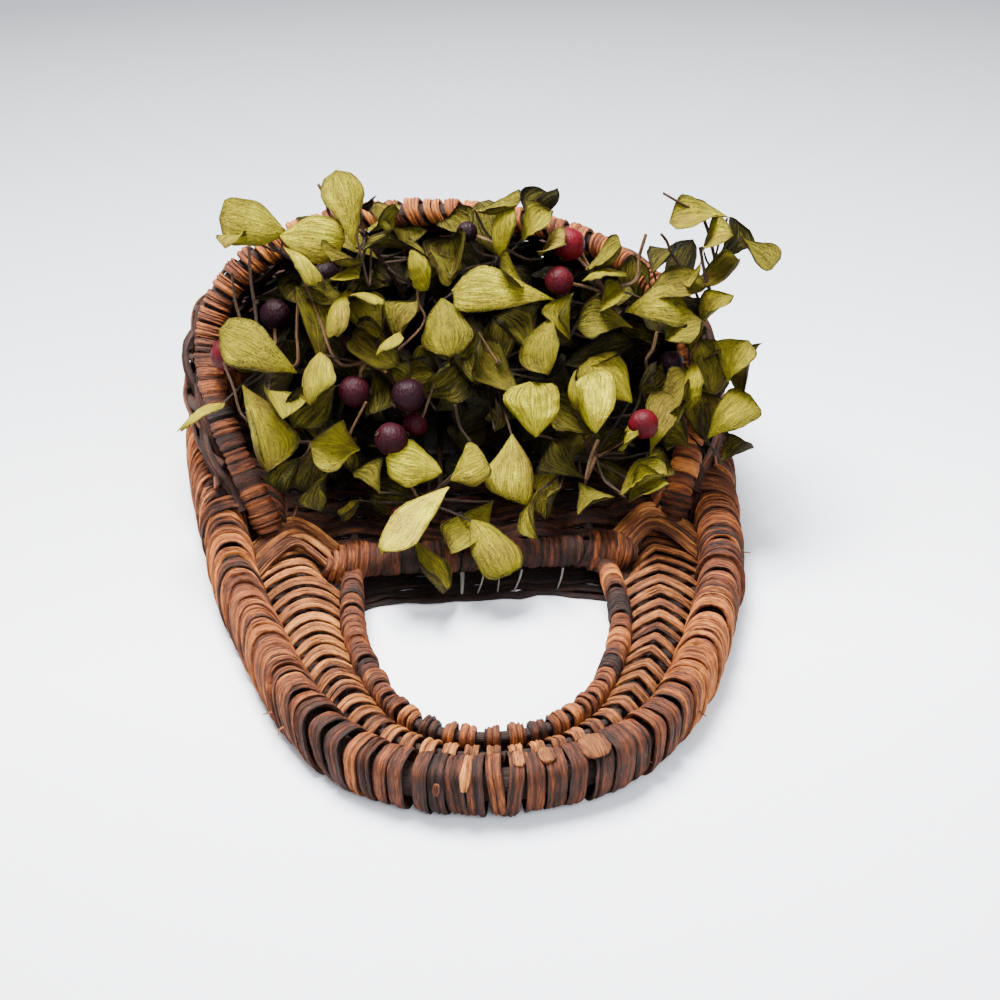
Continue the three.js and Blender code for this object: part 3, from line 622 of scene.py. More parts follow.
def offcuts():
    skin = Skin()
    taper = np.sin(np.pi * np.linspace(0.1, 0.9, 16)) ** 0.55
    for s, width, low, high, tone in OFFCUTS:
        wind(skin, hoop, s, (HOOP_WIDE / 2 + 0.5, HOOP_TALL / 2 + 0.4), 0.66, 0.5, width * taper, 1.2, tone,
             turns=(high - low) / 360, start=low / 180, rows=16, lanes=8, flat_floor=True)
    for x, y, end_x, end_y in FIBRE_PIXELS:
        start, end = on_level(x, y, HOOP_TOP - 3), on_level(end_x, end_y, HOOP_TOP)
        near = hoop.nearest(start)
        out = (start - near) * [1, 1, 0]
        if y > FIBRE_ROWS[1] or (y < FIBRE_ROWS[0] and np.linalg.norm(out) < HOOP_WIDE * 1.5):
            start = near + unit(out) * (HOOP_WIDE / 2 - 1)
            end = start + unit(out + rng.normal(0, 3, 3)) * rng.uniform(2.5, 4.5)
        places = spline([start, mix(start, end, 0.5) + rng.normal(0, 0.4, 3), end], fine=5)
        rod(skin, places, 0.7, rng.uniform(0.3, 0.7), sides=6, leans=False, ends=(1.0, 0.5))
    skin.place("handle_offcuts", "bark_tan")


offcuts()


def plain_rod(name, node, places, width, sides=12, closed=False):
    skin = Skin()
    rod(skin, places, width, 0.4, sides=sides, closed=closed)
    skin.place(name, "vine", node)


plain_rod("hoop_rod", "outer_hoop", hoop.even(161)[:-1], 9, closed=True)
plain_rod("bar_rod", "cross_bar", bar.even(24), 6)
plain_rod("ring_rod", "inner_ring", ring.even(90), 3.4)
plain_rod("middle_rod", "middle_rib", middle.even(140), 2.6)
plain_rod("rim_rod", "mouth_rim", rim.even(100), 5)


# Inner ring: short turns of two slats each, and dark knots at two pixels of the photograph
RING_KNOTS = [(612, 608), (604, 670)]
KNOT_PIXELS = 10


def ring_strips():
    skin = Skin()
    for s, width in strip_places(1.5, ring.length - 1.5, 4.3, 6.2, 0.5):
        top = smooth((45 - ring.at(s)[1]) / 25)
        tilt = rng.uniform(1.6, 2.6) * (1 - top) * (-1 if s < ring.length / 2 else 1)
        tone = np.clip(rng.normal(0.56, 0.13), 0.1, 0.9)
        wide = width * mix(1.0, 0.74, top)
        if min(math.dist(pixel(ring.at(s)), at) for at in RING_KNOTS) < KNOT_PIXELS:
            tone = rng.uniform(0.04, 0.14)
        for share in (-0.25, 0.25):
            swell = rng.uniform(-0.5, 0.6)
            half = (RING_WIDTH / 2 - 0.5 + swell, RING_WIDTH / 2 - 0.4 + swell)
            wind(skin, ring, s + wide * share, half, 0.85, tilt, wide / 2 * 1.06, 1.0,
                 tone + rng.normal(0, 0.05), ridge=0.14, lanes=6)
    skin.place("ring_strips", "bark_dark", "inner_ring_wrap")


ring_strips()


# Cross bar: smooth dark strips side by side, with thick turns over its ends, and near-black strips under it
# that paint the bar's shadow on the table: how far past the bar and how high each lies
BAR_KNOBS = (0.98, 1.05, 1.08, 1.0, 0.82, 0.5)
SHADOW_UNDER_BAR = ((3.2, 2.6), (0.6, 1.6), (-2.2, 2.2), (-4.8, 1.4), (-7.2, 1.0))


def bar_strips():
    skin = Skin()
    for s, width in strip_places(1.5, bar.length - 1.5, 5.0, 6.8, 0.1):
        end = smooth((abs(s - bar.length / 2) - 26) / 8)
        half = BAR_WIDTH / 2 - 0.6 + (rng.uniform(-0.15, 0.25) + 0.5 * end)
        wind(skin, bar, s, (half, half), 0.9, rng.uniform(0.3, 0.9) * (1 + 2 * end), width, 1.0,
             np.clip(rng.normal(mix(0.3, 0.52, end), 0.1), 0.1, 0.9), rows=32, grooves=rng.integers(0, 2),
             ridge=0.09)
    for way in (-1, 1):
        for k, shrink in enumerate(BAR_KNOBS):
            x, y = way * (bar_half - 8 + 2.1 * k), HANDLE_REACH - 0.6 * k
            knob = Line([(x - 3, y, BAR_LIFT), (x + 3, y, BAR_LIFT)])
            wind(skin, knob, 3, (shrink * 5.9, shrink * 5.9), 0.95, rng.uniform(0.8, 1.6), 3.0, 1.1,
                 np.clip(rng.normal(0.5, 0.12), 0.2, 0.9), rows=32, lanes=6)
    skin.place("bar_strips", "bark_dark", "cross_bar_wrap")
    # Near-black strips under the bar: painted shadow of the bar on the table
    skin = Skin()
    x = np.linspace(-bar_half + 3, bar_half - 3, 60)
    for k, (y, z) in enumerate(SHADOW_UNDER_BAR):
        sag = -6.2 * (x / bar_half) ** 4 * (k / 4)
        places = np.stack([x, HANDLE_REACH + y + sag + wander(60, 0.5, 14), z + wander(60, 0.2, 9)], axis=1)
        ribbon(skin, places, UP, 3.3 + wander(60, 0.5, 18), 0.9, rng.uniform(0.0, 0.1), lanes=5,
               flat_floor=True)
    skin.place("bar_painted_shadow_strips", "bark_dark")


bar_strips()


# Band of the handle: tan strips that pass over the middle rib from the hoop to the inner ring, each
# tucked in by that length, and short ones laid over its two ends at the mouth
TUCK = 2.2
END_SPLINTS = 9
ring_marks = ring.even(240)
bar_marks = bar.even(120)


def band_room(place):
    """How far the band reaches from there to the hoop and to the ring or the bar"""
    outer = np.linalg.norm(hoop_marks[:, :2] - place[:2], axis=1).min() - HOOP_WIDE / 2
    inner = min(np.linalg.norm(ring_marks[:, :2] - place[:2], axis=1).min() - RING_WIDTH / 2,
                np.linalg.norm(bar_marks[:, :2] - place[:2], axis=1).min() - BAR_WIDTH / 2)
    return outer, inner


def band_strips():
    over, under = Skin(), Skin()
    first = np.argmax(middle.even(801)[:, 1] < MOUTH_FOOT + 1) / 800 * middle.length
    s = first
    while s < middle.length - first:
        here = middle.at(s)
        near = smooth((44 - here[1]) / 22)
        right = smooth((here[0] + 4) / 8)
        pitch = mix(rng.uniform(5.0, 5.8), 6.1, near)
        width = pitch * mix(rng.uniform(0.6, 0.76) - 0.06 * right, 0.66, near)
        outer, inner = (room + TUCK for room in band_room(here))
        along = middle.way(s)
        across = np.cross(along, UP)
        back = mix(3.2, 0.6, near)
        crown = mix(rng.uniform(3.4, 4.4), 2.9, near)
        c = np.linspace(-inner, outer, 22)
        share = np.abs(c) / np.where(c < 0, inner, outer)
        power = mix(1.9, 1.25, right)
        lift = crown * (1 - share ** power) - 2.6 * share**3
        sweep = back * share ** mix(1.6, 1.0, right) * (1 if here[1] > 0 else 0)
        down = -np.sign(along[1]) if abs(along[1]) > 0.25 else 0.0
        where = here + across * c[:, None] + UP * lift[:, None] + along * (sweep * down)[:, None]
        rise = unit(np.cross(np.gradient(where, axis=0), -along))
        rise = np.where(rise[:, 2:] < 0, -rise, rise)
        tone = np.clip(rng.normal(0.575 - 0.03 * right, 0.11), 0.25, 0.95)
        slats = 2 if width > 3.2 else 1
        for k in range(slats):
            shift = along * ((k - (slats - 1) / 2) * width / slats)
            ribbon(over, where + shift, rise, width / slats * 0.96, 0.9,
                   np.clip(tone + rng.normal(0, 0.05), 0, 1), ridge=0.1, lanes=5)
        tucked = c * np.where(c < 0, 1 + 2.4 * near / inner, 1)
        low = np.stack([tucked, -2.4 + 1.6 * share**2], axis=1)
        places = middle.at(s + pitch / 2) + across * low[:, :1] + UP * low[:, 1:]
        # The strips under the band are toned dark: painted shade in the gaps between the strips over them
        ribbon(under, places, UP, pitch * 1.04, 0.9, rng.uniform(0.1, 0.3), lanes=5)
        s += pitch
    for way in (-1, 1):
        for k in range(END_SPLINTS):
            y = MOUTH_FOOT - 0.5 - 1.9 * k + rng.normal(0, 0.3)
            x = way * (middle.even(3)[2, 0] + 1) + rng.normal(0, 0.8)
            peak = np.array([x * 1.01, y + 4.5, MIDDLE_LIFT + 3.4 + 0.38 * k])
            ends = [np.array([x + way * 14.5, y - 3.5, MIDDLE_LIFT - 1.2]),
                    np.array([x - way * 13, y - 7.5, MIDDLE_LIFT + 0.6])]
            shoulder = [mix(end, peak, 0.62) + [0, 0.6, 1.3] for end in ends]
            places = spline([ends[0], shoulder[0], peak, shoulder[1], ends[1]], fine=8)
            ribbon(over, places, unit([0, -0.25, 1]), rng.uniform(1.7, 2.7), 1.0,
                   np.clip(rng.normal(0.56, 0.17), 0.15, 0.95), ridge=0.12, lanes=6, streak=0.1)
    over.place("band_strips", "bark_tan", "band_weaver")
    under.place("band_understrips", "bark_dark")


band_strips()


# Mouth rim: ring-like turns of two slats with gaps between them, turns over its ends, and lashings
# that tie its feet to the hoop
RIM_KNOBS = (1.04, 1.0, 0.9, 0.6)
LASHINGS = 7


def rim_strips():
    skin = Skin()
    s = 1.0
    while s < rim.length - 2:
        top = smooth((rim.at(s)[2] - 45) / 25)
        pitch = mix(rng.uniform(3.6, 5.0), rng.uniform(5.8, 7.0), top)
        slats = 2 if top > 0.4 else 1
        width = mix(pitch * 0.98, pitch * 0.74, top)
        swell = rng.uniform(-0.2, 0.4)
        half = (RIM_WIDTH / 2 - 0.5 + swell, RIM_WIDTH / 2 - 0.4 + swell)
        # The rim's right side is toned lighter than its left: painted light that lifts the shade of the
        # leaves there
        tone = np.clip(rng.normal(mix(0.48 if rim.at(s)[0] < 0 else 0.76, 0.8, top), 0.11), 0.15, 0.9)
        for k in range(slats):
            wind(skin, rim, s + width * (k + 0.5) / slats, half, 0.95, rng.uniform(0.3, 0.9),
                 width / slats * 1.02, 1.0, tone, up=MOUTH_NORMAL, ridge=0.12, lanes=6)
        s += pitch
    for end, out in ((0.0, -1), (rim.length, 1)):
        place, onward = rim.at(end), rim.way(end) * out
        for k, shrink in enumerate(RIM_KNOBS):
            centre = place + onward * (1.8 * k - 1.5)
            half = (shrink * RIM_WIDTH / 2, shrink * RIM_WIDTH / 2)
            wind(skin, Line([centre - onward * 2, centre + onward * 2]), 2, half, 0.95, rng.uniform(0.5, 1.3),
                 2.8, 1.1, rng.uniform(0.3, 0.6), up=MOUTH_NORMAL, lanes=6)
    for way in (-1, 1):
        for k in range(LASHINGS):
            y = MOUTH_FOOT + 1.5 + 3.4 * k
            x = way * (hoop_reach(y) + MOUTH_FOOT_HALF) / 2
            wide = (hoop_reach(y) - MOUTH_FOOT_HALF) / 2 + 7.0 - 0.25 * k
            lash = Line([(x, y - 8, HOOP_LIFT + 0.6), (x + way * 0.8, y + 8, HOOP_LIFT + 0.6)])
            # The lashings on the right are toned lighter than those on the left: painted light that lifts the
            # shade of the leaves there
            wind(skin, lash, 8, (wide, HOOP_TALL / 2 + 0.3), 0.72, rng.uniform(3.5, 5.5), 3.9, 1.1,
                 np.clip(rng.normal(0.49 + 0.07 * way, 0.12), 0.15, 0.8), rows=44, grooves=2, ridge=0.14,
                 lanes=8, flat_floor=True)
    skin.place("rim_strips", "bark_dark", "mouth_rim_wrap")


rim_strips()


# Front of the pocket: ribs from the rim to the hoop, with courses woven over and under them
FRONT_RIBS = 15
FRONT_COURSES = 17
COURSE_WIDE = 5.6


def front():
    ribs = [Skin() for _ in range(7)]
    between = Skin()
    for k in range(1, FRONT_RIBS + 1):
        turn = np.pi * k / (FRONT_RIBS + 1)
        skin = ribs[k // 2 - 1] if k % 2 == 0 else between
        places = np.array([front_at(c, turn) for c in np.linspace(0.04, 1, 30)])
        rod(skin, places, 3.0 if k % 2 == 0 else 2.4, rng.uniform(0.3, 0.6), sides=8)
    for i, skin in enumerate(ribs):
        skin.place(f"belly_rib_{i + 1}", "vine", f"front_rib_{i + 1}")
    between.place("belly_ribs_between", "vine")
    groups = [Skin() for _ in range(5)]
    for i in range(FRONT_COURSES):
        course = mix(0.03, 0.95, i / (FRONT_COURSES - 1))
        turns = np.linspace(0.03, np.pi - 0.03, 16 * (FRONT_RIBS + 1) // 2 + 1)
        swing = 1.75 * np.cos((FRONT_RIBS + 1) * turns + i * np.pi)
        normal = front_normal(course, turns)
        places = front_at(course, turns) + normal * swing[:, None]
        beside = front_at(min(course + 0.06, 1), turns) - front_at(course, turns)
        width = np.clip(np.linalg.norm(beside, axis=1) * 1.08, 1.6, COURSE_WIDE)
        ribbon(groups[i * 5 // FRONT_COURSES], places, normal, width, 1.0, rng.uniform(0.26, 0.56), grooves=2)
    for i, skin in enumerate(groups):
        skin.place(f"belly_weave_{i + 1}", "bark_dark", f"front_course_{i + 1}")


front()


# Back panel: stakes, and flat rows woven through them
pocket_inside = hoop_half + unit(np.cross(UP, np.gradient(hoop_half, axis=0))) * (HOOP_WIDE / 2 + 0.4)


def inside_reach(y):
    """Half the room inside the hoop at y"""
    near = pocket_inside[np.abs(pocket_inside[:, 1] - y) < 2.5]
    return near[:, 0].max() if len(near) else 10.0


def back():
    for i, n in enumerate((-2, -1, 0, 1, 2)):
        low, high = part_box(f"back_stake_{i + 1}")
        x = n * STAKE_PITCH
        places = np.array([(x, y, STAKE_LIFT) for y in np.linspace(low[1] / MM, high[1] / MM, 24)])
        plain_rod(f"stake_{i + 1}", f"back_stake_{i + 1}", places, 3.0, sides=8)
    for i in range(7):
        skin = Skin()
        first, last = (-1 if i == 0 else 0), (6 if i == 6 else 3)
        for j in range(first, last):
            y = BACK_START + ROW_PITCH * (i + (j - 1) / 3)
            reach = min(inside_reach(y - 3), inside_reach(y + 3))
            x = np.linspace(-reach, reach, 90)
            wave = 1.9 * np.cos(np.pi * x / STAKE_PITCH + (3 * i + j) * np.pi)
            places = np.stack([x, np.full(len(x), y), STAKE_LIFT + wave], axis=1)
            # The rows are toned dark: painted shade of the pocket's inside
            ribbon(skin, places, UP, 7.0, 1.2, rng.uniform(0.04, 0.26), grooves=2)
        skin.place(f"back_weave_{i + 1}", "bark_tan", f"back_row_{i + 1}")


back()


# Stems, which run from the glue over the back panel up through the mouth to their tips
SPRAY_TIPS = [
    (-0.73, 0.86, 0.8), (-0.38, 0.88, 1), (-0.8, 0.5, 0.6), (-0.7, 0.24, 0.5),
    (-0.38, 0.46, 1), (-0.2, 0.02, 0.7), (0.12, 0.44, 1.15), (0.15, 0.82, 0.95),
    (0.55, 0.66, 1), (0.98, 0.72, 0.88), (0.93, 0.3, 0.6), (0.48, 0.14, 0.8),
]
BERRY_PLACES = [
    (0.41, 0.81, 1.05), (0.36, 0.68, 1.3), (-0.91, 0.53, 0.43), (-0.72, 0.66, 0.33), (-0.43, 0.37, 0.95),
    (-0.23, 0.34, 1.2), (-0.3, 0.21, 1.05), (0.65, 0.22, 1.15), (-0.52, 0.77, 0.48), (0.79, 0.44, 0.57),
]
LEAF_LENGTH = 21.0


def foliage_at(across, up, out):
    return (MOUTH_ORIGIN + [across * HOOP_HALF_WIDTH, 0, 0] + MOUTH_UP * up * MOUTH_SLOPE
            + MOUTH_NORMAL * out * LEAF_LENGTH)


def stem_line(across, up, out):
    root = np.array([0.45 * across * HOOP_HALF_WIDTH, PAD_PLACE + (up - 0.5) * 20, PAD_TOP - 0.5])
    via = foliage_at(0.59 * across, mix(0.34, up, 0.75), -0.35)
    return Line(spline([root, mix(root, via, 0.4), via, foliage_at(across, up, out)]))


stems = [stem_line(*tip) for tip in SPRAY_TIPS]
stem_marks = [stem.even(60) for stem in stems]
tip_pixels = np.array([pixel(foliage_at(*tip)) for tip in SPRAY_TIPS])
tip_reaches = np.array([tip[2] for tip in SPRAY_TIPS]) * LEAF_LENGTH


def dome(x, y):
    """How far the foliage stands out of the mouth at a pixel, from the tips of the stems"""
    near = 1 / (np.linalg.norm(tip_pixels - [x, y], axis=1) ** 2 + 50.0**2) ** 1.5
    return (near * tip_reaches).sum() / near.sum() + 3


LEAF_PAIR_SHARES = [0.5, 0.64, 0.79, 0.93]
GOLDEN_TURN = math.pi * (3 - math.sqrt(5))
INNER_LEAVES = 900
front_turns = np.linspace(0, np.pi, 61)
front_marks = np.vstack([front_at(course, front_turns) for course in np.linspace(0.0, 1, 14)])
front_ways = np.vstack([front_normal(course, front_turns) for course in np.linspace(0.0, 1, 14)])


def front_clearance(place):
    """How far inside the woven front a place is"""
    nearest = np.argmin(np.linalg.norm(front_marks - place, axis=1))
    return (front_marks[nearest] - place) @ front_ways[nearest]


# Leaves that show in the photograph, in its pixels: base, tip, width, then tone and curl; the tone is each
# leaf's brightness as seen, so it holds its painted light and shade along with its own colour
LEAF_PIXELS = [
    (284, 233, 219, 217, 45, 0.7, -0.5), (280, 236, 345, 241, 45, 0.78, -0.4),
    (250, 238, 228, 251, 14, 0.6, 0.6), (355, 250, 336, 170, 35, 0.66, 0.5),
    (358, 207, 374, 195, 12, 0.1, 0.8), (365, 230, 400, 213, 24, 0.5, 0.8),
    (283, 247, 318, 286, 18, 0.7, -0.6), (342, 300, 308, 290, 28, 0.35, 0.9),
    (320, 366, 295, 286, 36, 0.36, 0.7), (297, 373, 219, 330, 46, 0.62, -0.35),
    (224, 403, 182, 431, 19, 0.66, 0.5), (242, 385, 268, 472, 38, 0.6, 1.3),
    (268, 390, 284, 420, 24, 0.6, 1.0), (335, 385, 292, 428, 44, 0.26, 0.9),
    (320, 352, 318, 398, 34, 0.7, 1.2), (346, 290, 337, 337, 21, 0.72, 0.5),
    (380, 340, 352, 300, 38, 0.42, 0.9), (384, 300, 358, 298, 17, 0.65, 0.6),
    (398, 345, 418, 302, 34, 0.46, 1.0), (442, 298, 448, 357, 46, 0.56, -0.5),
    (400, 334, 386, 352, 15, 0.65, 0.5), (400, 366, 352, 336, 36, 0.36, 1.2),
    (408, 396, 382, 372, 28, 0.3, 1.2), (412, 398, 458, 364, 40, 0.22, 1.3),
    (360, 450, 311, 442, 50, 0.56, 0.8), (380, 494, 352, 472, 26, 0.36, 0.9),
    (442, 472, 387, 457, 42, 0.76, 0.5), (450, 480, 485, 457, 30, 0.66, 0.8),
    (476, 384, 458, 358, 24, 0.36, 0.9), (450, 278, 450, 238, 40, 0.32, 1.3),
    (430, 258, 362, 250, 20, 0.32, 0.8), (428, 290, 410, 255, 26, 0.66, 0.5),
    (555, 300, 452, 291, 42, 0.7, -0.5), (358, 262, 334, 264, 22, 0.5, 0.9),
    (322, 284, 360, 280, 15, 0.62, 0.6), (472, 210, 520, 204, 18, 0.5, 1.0),
    (500, 258, 506, 201, 28, 0.66, 0.9), (532, 225, 556, 195, 26, 0.16, 1.4),
    (522, 244, 551, 212, 24, 0.6, 0.7), (540, 260, 565, 246, 20, 0.6, 0.6),
    (586, 269, 621, 250, 26, 0.5, 0.9), (582, 281, 626, 277, 15, 0.66, 0.5),
    (524, 284, 500, 270, 20, 0.5, 0.7), (530, 350, 494, 315, 38, 0.26, 1.2),
    (552, 316, 548, 375, 32, 0.56, 0.8), (570, 340, 572, 295, 24, 0.6, 1.3),
    (633, 328, 576, 326, 34, 0.42, 0.9), (600, 312, 625, 297, 20, 0.6, 0.6),
    (625, 312, 687, 305, 40, 0.56, -0.4), (642, 300, 707, 287, 30, 0.42, 0.9),
    (665, 340, 701, 323, 30, 0.5, 0.8), (701, 334, 733, 297, 17, 0.58, 1.2),
    (696, 285, 738, 261, 32, 0.46, 0.8), (681, 283, 698, 272, 13, 0.5, 0.5),
    (730, 218, 669, 222, 21, 0.62, 0.6), (718, 257, 735, 217, 24, 0.16, 1.2),
    (702, 253, 731, 237, 22, 0.6, 0.7), (740, 235, 773, 269, 20, 0.44, 1.2),
    (652, 273, 679, 247, 26, 0.2, 1.2), (728, 385, 746, 341, 24, 0.6, 0.8),
    (742, 400, 761, 343, 20, 0.36, 1.3), (690, 373, 725, 343, 32, 0.26, 1.0),
    (688, 412, 696, 362, 24, 0.7, 0.8), (658, 414, 689, 381, 30, 0.5, 1.0),
    (708, 438, 751, 395, 42, 0.62, -0.5), (720, 464, 755, 447, 20, 0.3, 1.0),
    (638, 389, 658, 367, 22, 0.26, 1.0), (632, 403, 589, 358, 42, 0.66, 0.5),
    (596, 433, 594, 371, 40, 0.86, 0.6), (576, 411, 574, 379, 18, 0.7, 0.6),
    (536, 437, 532, 383, 52, 0.86, 0.5), (599, 437, 551, 411, 32, 0.3, 1.2),
    (585, 479, 553, 439, 34, 0.21, 1.2), (650, 454, 685, 398, 40, 0.56, 1.3),
    (624, 455, 637, 435, 15, 0.6, 0.7), (512, 434, 510, 500, 48, 0.76, 0.9),
    (634, 485, 671, 463, 22, 0.36, 0.9), (620, 495, 666, 475, 24, 0.6, 1.0),
    (592, 453, 629, 433, 22, 0.26, 0.9), (494, 432, 498, 399, 14, 0.26, 0.9),
    (518, 391, 473, 353, 38, 0.36, 1.0), (542, 381, 563, 357, 22, 0.11, 1.0),
    (566, 365, 633, 345, 22, 0.11, 1.0), (449, 487, 383, 554, 37, 0.96, -0.3),
    (493, 500, 449, 548, 38, 0.5, 0.9), (415, 538, 443, 594, 28, 0.46, 1.1),
    (472, 520, 511, 574, 42, 0.66, 0.7), (538, 490, 537, 539, 17, 0.56, 0.9),
    (578, 515, 611, 495, 22, 0.42, 0.8), (628, 503, 668, 484, 22, 0.56, 1.0),
    (392, 246, 372, 214, 24, 0.5, 0.8), (404, 254, 396, 226, 26, 0.42, 0.9),
    (470, 240, 446, 218, 22, 0.34, 1.0), (300, 458, 282, 492, 24, 0.3, 1.1),
    (330, 470, 322, 512, 22, 0.24, 1.2), (360, 498, 344, 520, 16, 0.4, 1.0),
    (560, 488, 546, 520, 22, 0.36, 1.1), (690, 448, 664, 440, 24, 0.34, 1.0),
    (480, 330, 470, 372, 22, 0.4, 1.0), (430, 250, 448, 286, 26, 0.4, 0.9),
    (712, 394, 699, 340, 40, 0.36, 0.8), (706, 442, 702, 392, 36, 0.3, 0.8),
    (690, 352, 676, 326, 26, 0.3, 0.9),
]
# The outer line of the foliage, in the photograph's pixels
OUTLINE_PIXELS = [
    (218, 245), (226, 214), (262, 204), (300, 210), (330, 196), (352, 204), (400, 202), (470, 200),
    (520, 198), (560, 202), (600, 232), (650, 240), (700, 236), (722, 262), (728, 300), (742, 340),
    (746, 400), (748, 440), (704, 462), (690, 500), (640, 508), (600, 520), (540, 530), (520, 560),
    (480, 580), (430, 575), (395, 540), (330, 516), (280, 494), (246, 466), (232, 430), (198, 424),
    (214, 360), (226, 320), (236, 280),
]
PIXELS_PER_MM = 3.3
LIGHT_WAY = unit([-0.15, 0.26, 0.77])
LEAF_ROWS, LEAF_LANES = 15, 11
REAL_LEAF, WIDEST_LEAF, LEAF_ROOM = 18, 14.5, 5.0
FILL_MIDDLE, FILL_HALF_WIDTH, FILL_HALF_HEIGHT = 0.38, 0.92, 0.56
shown_marks = []


def leaf(skin, base, tip, facing, width, tone, curls, bow, twist):
    """A dried leaf: a wedge with a blunt tip, each side curled by itself, bowed, twisted and crinkled"""
    length = np.linalg.norm(tip - base)
    along = unit(tip - base)
    up = unit(facing - along * (facing @ along))
    side = np.cross(along, up)
    v = np.linspace(0, 1, LEAF_ROWS)[:, None]
    u = np.linspace(-1, 1, LEAF_LANES)[None, :]
    blunt = np.sin(np.pi * v ** rng.uniform(1.5, 2.4)) ** rng.uniform(0.38, 0.54)
    ragged = 1 + 0.06 * np.sin(v * rng.uniform(8, 14) + np.sign(u) * rng.uniform(1, 3) + rng.uniform(0, 6))
    half = width / 2 * np.maximum(blunt * ragged, 0.035)
    roll = np.where(u < 0, *curls)
    across = half * np.sin(roll * u) / roll
    height = half * (1 - np.cos(roll * u)) / roll
    phase = rng.uniform(0, 6)
    waves = v * length / rng.uniform(3.0, 4.5) - np.abs(u) * rng.uniform(0.6, 1.1)
    ribs = np.sin(2 * np.pi * waves + phase)
    height = height + rng.uniform(0.08, 0.3) * ribs * np.abs(u) ** 0.5 * np.sin(np.pi * v)
    height = height + rng.uniform(0.15, 0.45) * np.abs(u) * half / 5
    height = height + rng.uniform(0.2, 1.0) * np.sin(v * rng.uniform(5, 10) + phase + u * 1.7) * u * u * v
    spin = twist * (v - 0.4)
    across, height = (across * np.cos(spin) - height * np.sin(spin),
                      across * np.sin(spin) + height * np.cos(spin))
    turn = bow * (v - 0.5)
    arc = length * (1 + bow * bow / 24)
    run = arc * np.sin(turn) / bow + rng.uniform(-0.3, 0.3) * u * half * v**3
    rise = arc * (np.cos(turn) - math.cos(bow / 2)) / bow
    bent = np.cos(turn)[..., None] * up - np.sin(turn)[..., None] * along
    places = ((base + tip) / 2 + along * run[..., None] + side * across[..., None]
              + up * rise[..., None] + bent * height[..., None])
    thick = 0.24 * np.maximum(np.sin(np.pi * np.clip(v, 0.04, 0.96)), 0.25) * (1.15 - u * u)
    top = places + bent * thick[..., None]
    under = places - bent * thick[..., None]
    rings = np.concatenate([top, under[:, ::-1]], axis=1)
    sides = np.concatenate([u, u[:, ::-1]], axis=1) * np.ones_like(v)
    grain = grained(rings, sides * width / 2, v * length)
    vein = 0.05 * np.exp(-((sides / 0.12) ** 2))
    tones = tone + vein - 0.24 * np.clip(np.abs(sides) * 5 - 4, 0, 1) - 0.18 * np.clip(v * 8 - 7, 0, 1)
    tones[:, LEAF_LANES:] -= 0.12
    skin.add(rings, grain, np.clip(tones, 0, 1))


def twig(skin, places, width, tone, ends):
    rod(skin, spline(places, fine=6), width, tone, sides=6, finish=1, leans=False, ends=ends)


def nearest_stem(place):
    found = [np.linalg.norm(marks - place, axis=1).min() for marks in stem_marks]
    return int(np.argmin(found))


def crowded(base, tip):
    """Whether a leaf between these ends would go through one of the leaves of the photograph"""
    own = np.stack([mix(base, tip, share) for share in np.linspace(0.1, 1, 5)])
    apart = np.linalg.norm(own[:, None] - np.array(shown_marks)[None], axis=2)
    return apart.min() < LEAF_ROOM


def outside(place):
    """Whether the photograph shows only the background or the handle there"""
    x, y = pixel(place)
    turned_in = False
    for (ax, ay), (bx, by) in zip(OUTLINE_PIXELS, OUTLINE_PIXELS[1:] + OUTLINE_PIXELS[:1]):
        if (ay > y) != (by > y) and x < ax + (y - ay) / (by - ay) * (bx - ax):
            turned_in = not turned_in
    return not turned_in


def grow(skins, base, tip, facing, width, tone, curls, bow, twist, own=None):
    """A leaf on a stalk of its own, which runs to the nearest stem"""
    own = nearest_stem(base) if own is None else own
    marks = stem_marks[own]
    nearest = np.argsort(np.linalg.norm(marks - base + VIEW_BACK * 6, axis=1))
    joint = marks[nearest[rng.integers(0, 7)]]
    leaf(skins[own], base, tip, facing, width, tone, curls, bow, twist)
    inner = base + unit(tip - base) * 0.8
    sag = -VIEW_BACK * rng.uniform(0.5, 2.5) + rng.normal(0, 0.8, 3)
    twig(skins[own], [inner, (inner + joint) / 2 + sag, joint], 0.9, rng.uniform(0.1, 0.4), (0.75, 1.1))


def either(size):
    """That much one way or the other, and never nothing"""
    return size * rng.choice([-1, 1])


def curled():
    return either(rng.uniform(0.4, 1.4)), either(rng.uniform(0.4, 1.4))


def turned(way, axis, angle):
    return (way * math.cos(angle) + np.cross(axis, way) * math.sin(angle)
            + axis * (axis @ way) * (1 - math.cos(angle)))


def photographed_leaves(skins):
    for bx, by, tx, ty, wide, tone, curl in LEAF_PIXELS:
        out = max(dome((bx + tx) / 2, (by + ty) / 2) + 8 * (tone - 0.5), 4)
        tone = mix(0.12, 0.98, tone)
        base, tip = seen(bx, by, out - 1.5), seen(tx, ty, out)
        shown_marks.extend(mix(base, tip, share) for share in (0.2, 0.4, 0.6, 0.8))
        length = np.linalg.norm(tip - base)
        toward = 1 if curl < 0 or tone > 0.5 else -0.4
        tip = tip + VIEW_BACK * 0.5 * math.sqrt(max(0, REAL_LEAF**2 - length**2)) * toward
        apparent = wide / PIXELS_PER_MM * 1.08
        roll = either(math.acos(np.clip(apparent / WIDEST_LEAF, 0.35, 1)))
        along = unit(tip - base)
        facing = unit(VIEW_BACK - along * (VIEW_BACK @ along))
        rolls = (roll, -roll) if tone > 0.36 else (roll,)
        facing = max((facing * math.cos(turn) + np.cross(along, facing) * math.sin(turn) for turn in rolls),
                     key=lambda way: way @ LIGHT_WAY)
        curl = -abs(curl) if tone > 0.66 else curl
        curls = np.array([curl * rng.uniform(0.4, 1.1), curl * rng.uniform(0.8, 1.7)])
        shown = np.mean(np.sin(curls) / curls)
        bow = rng.uniform(0.4, 1.2) * (1 if tone > 0.6 else rng.choice([-1, 1]))
        grow(skins, base, tip, facing, apparent / max(math.cos(roll) * shown, 0.42), tone,
             curls[::rng.choice([-1, 1])], bow, rng.uniform(-0.8, 0.8))


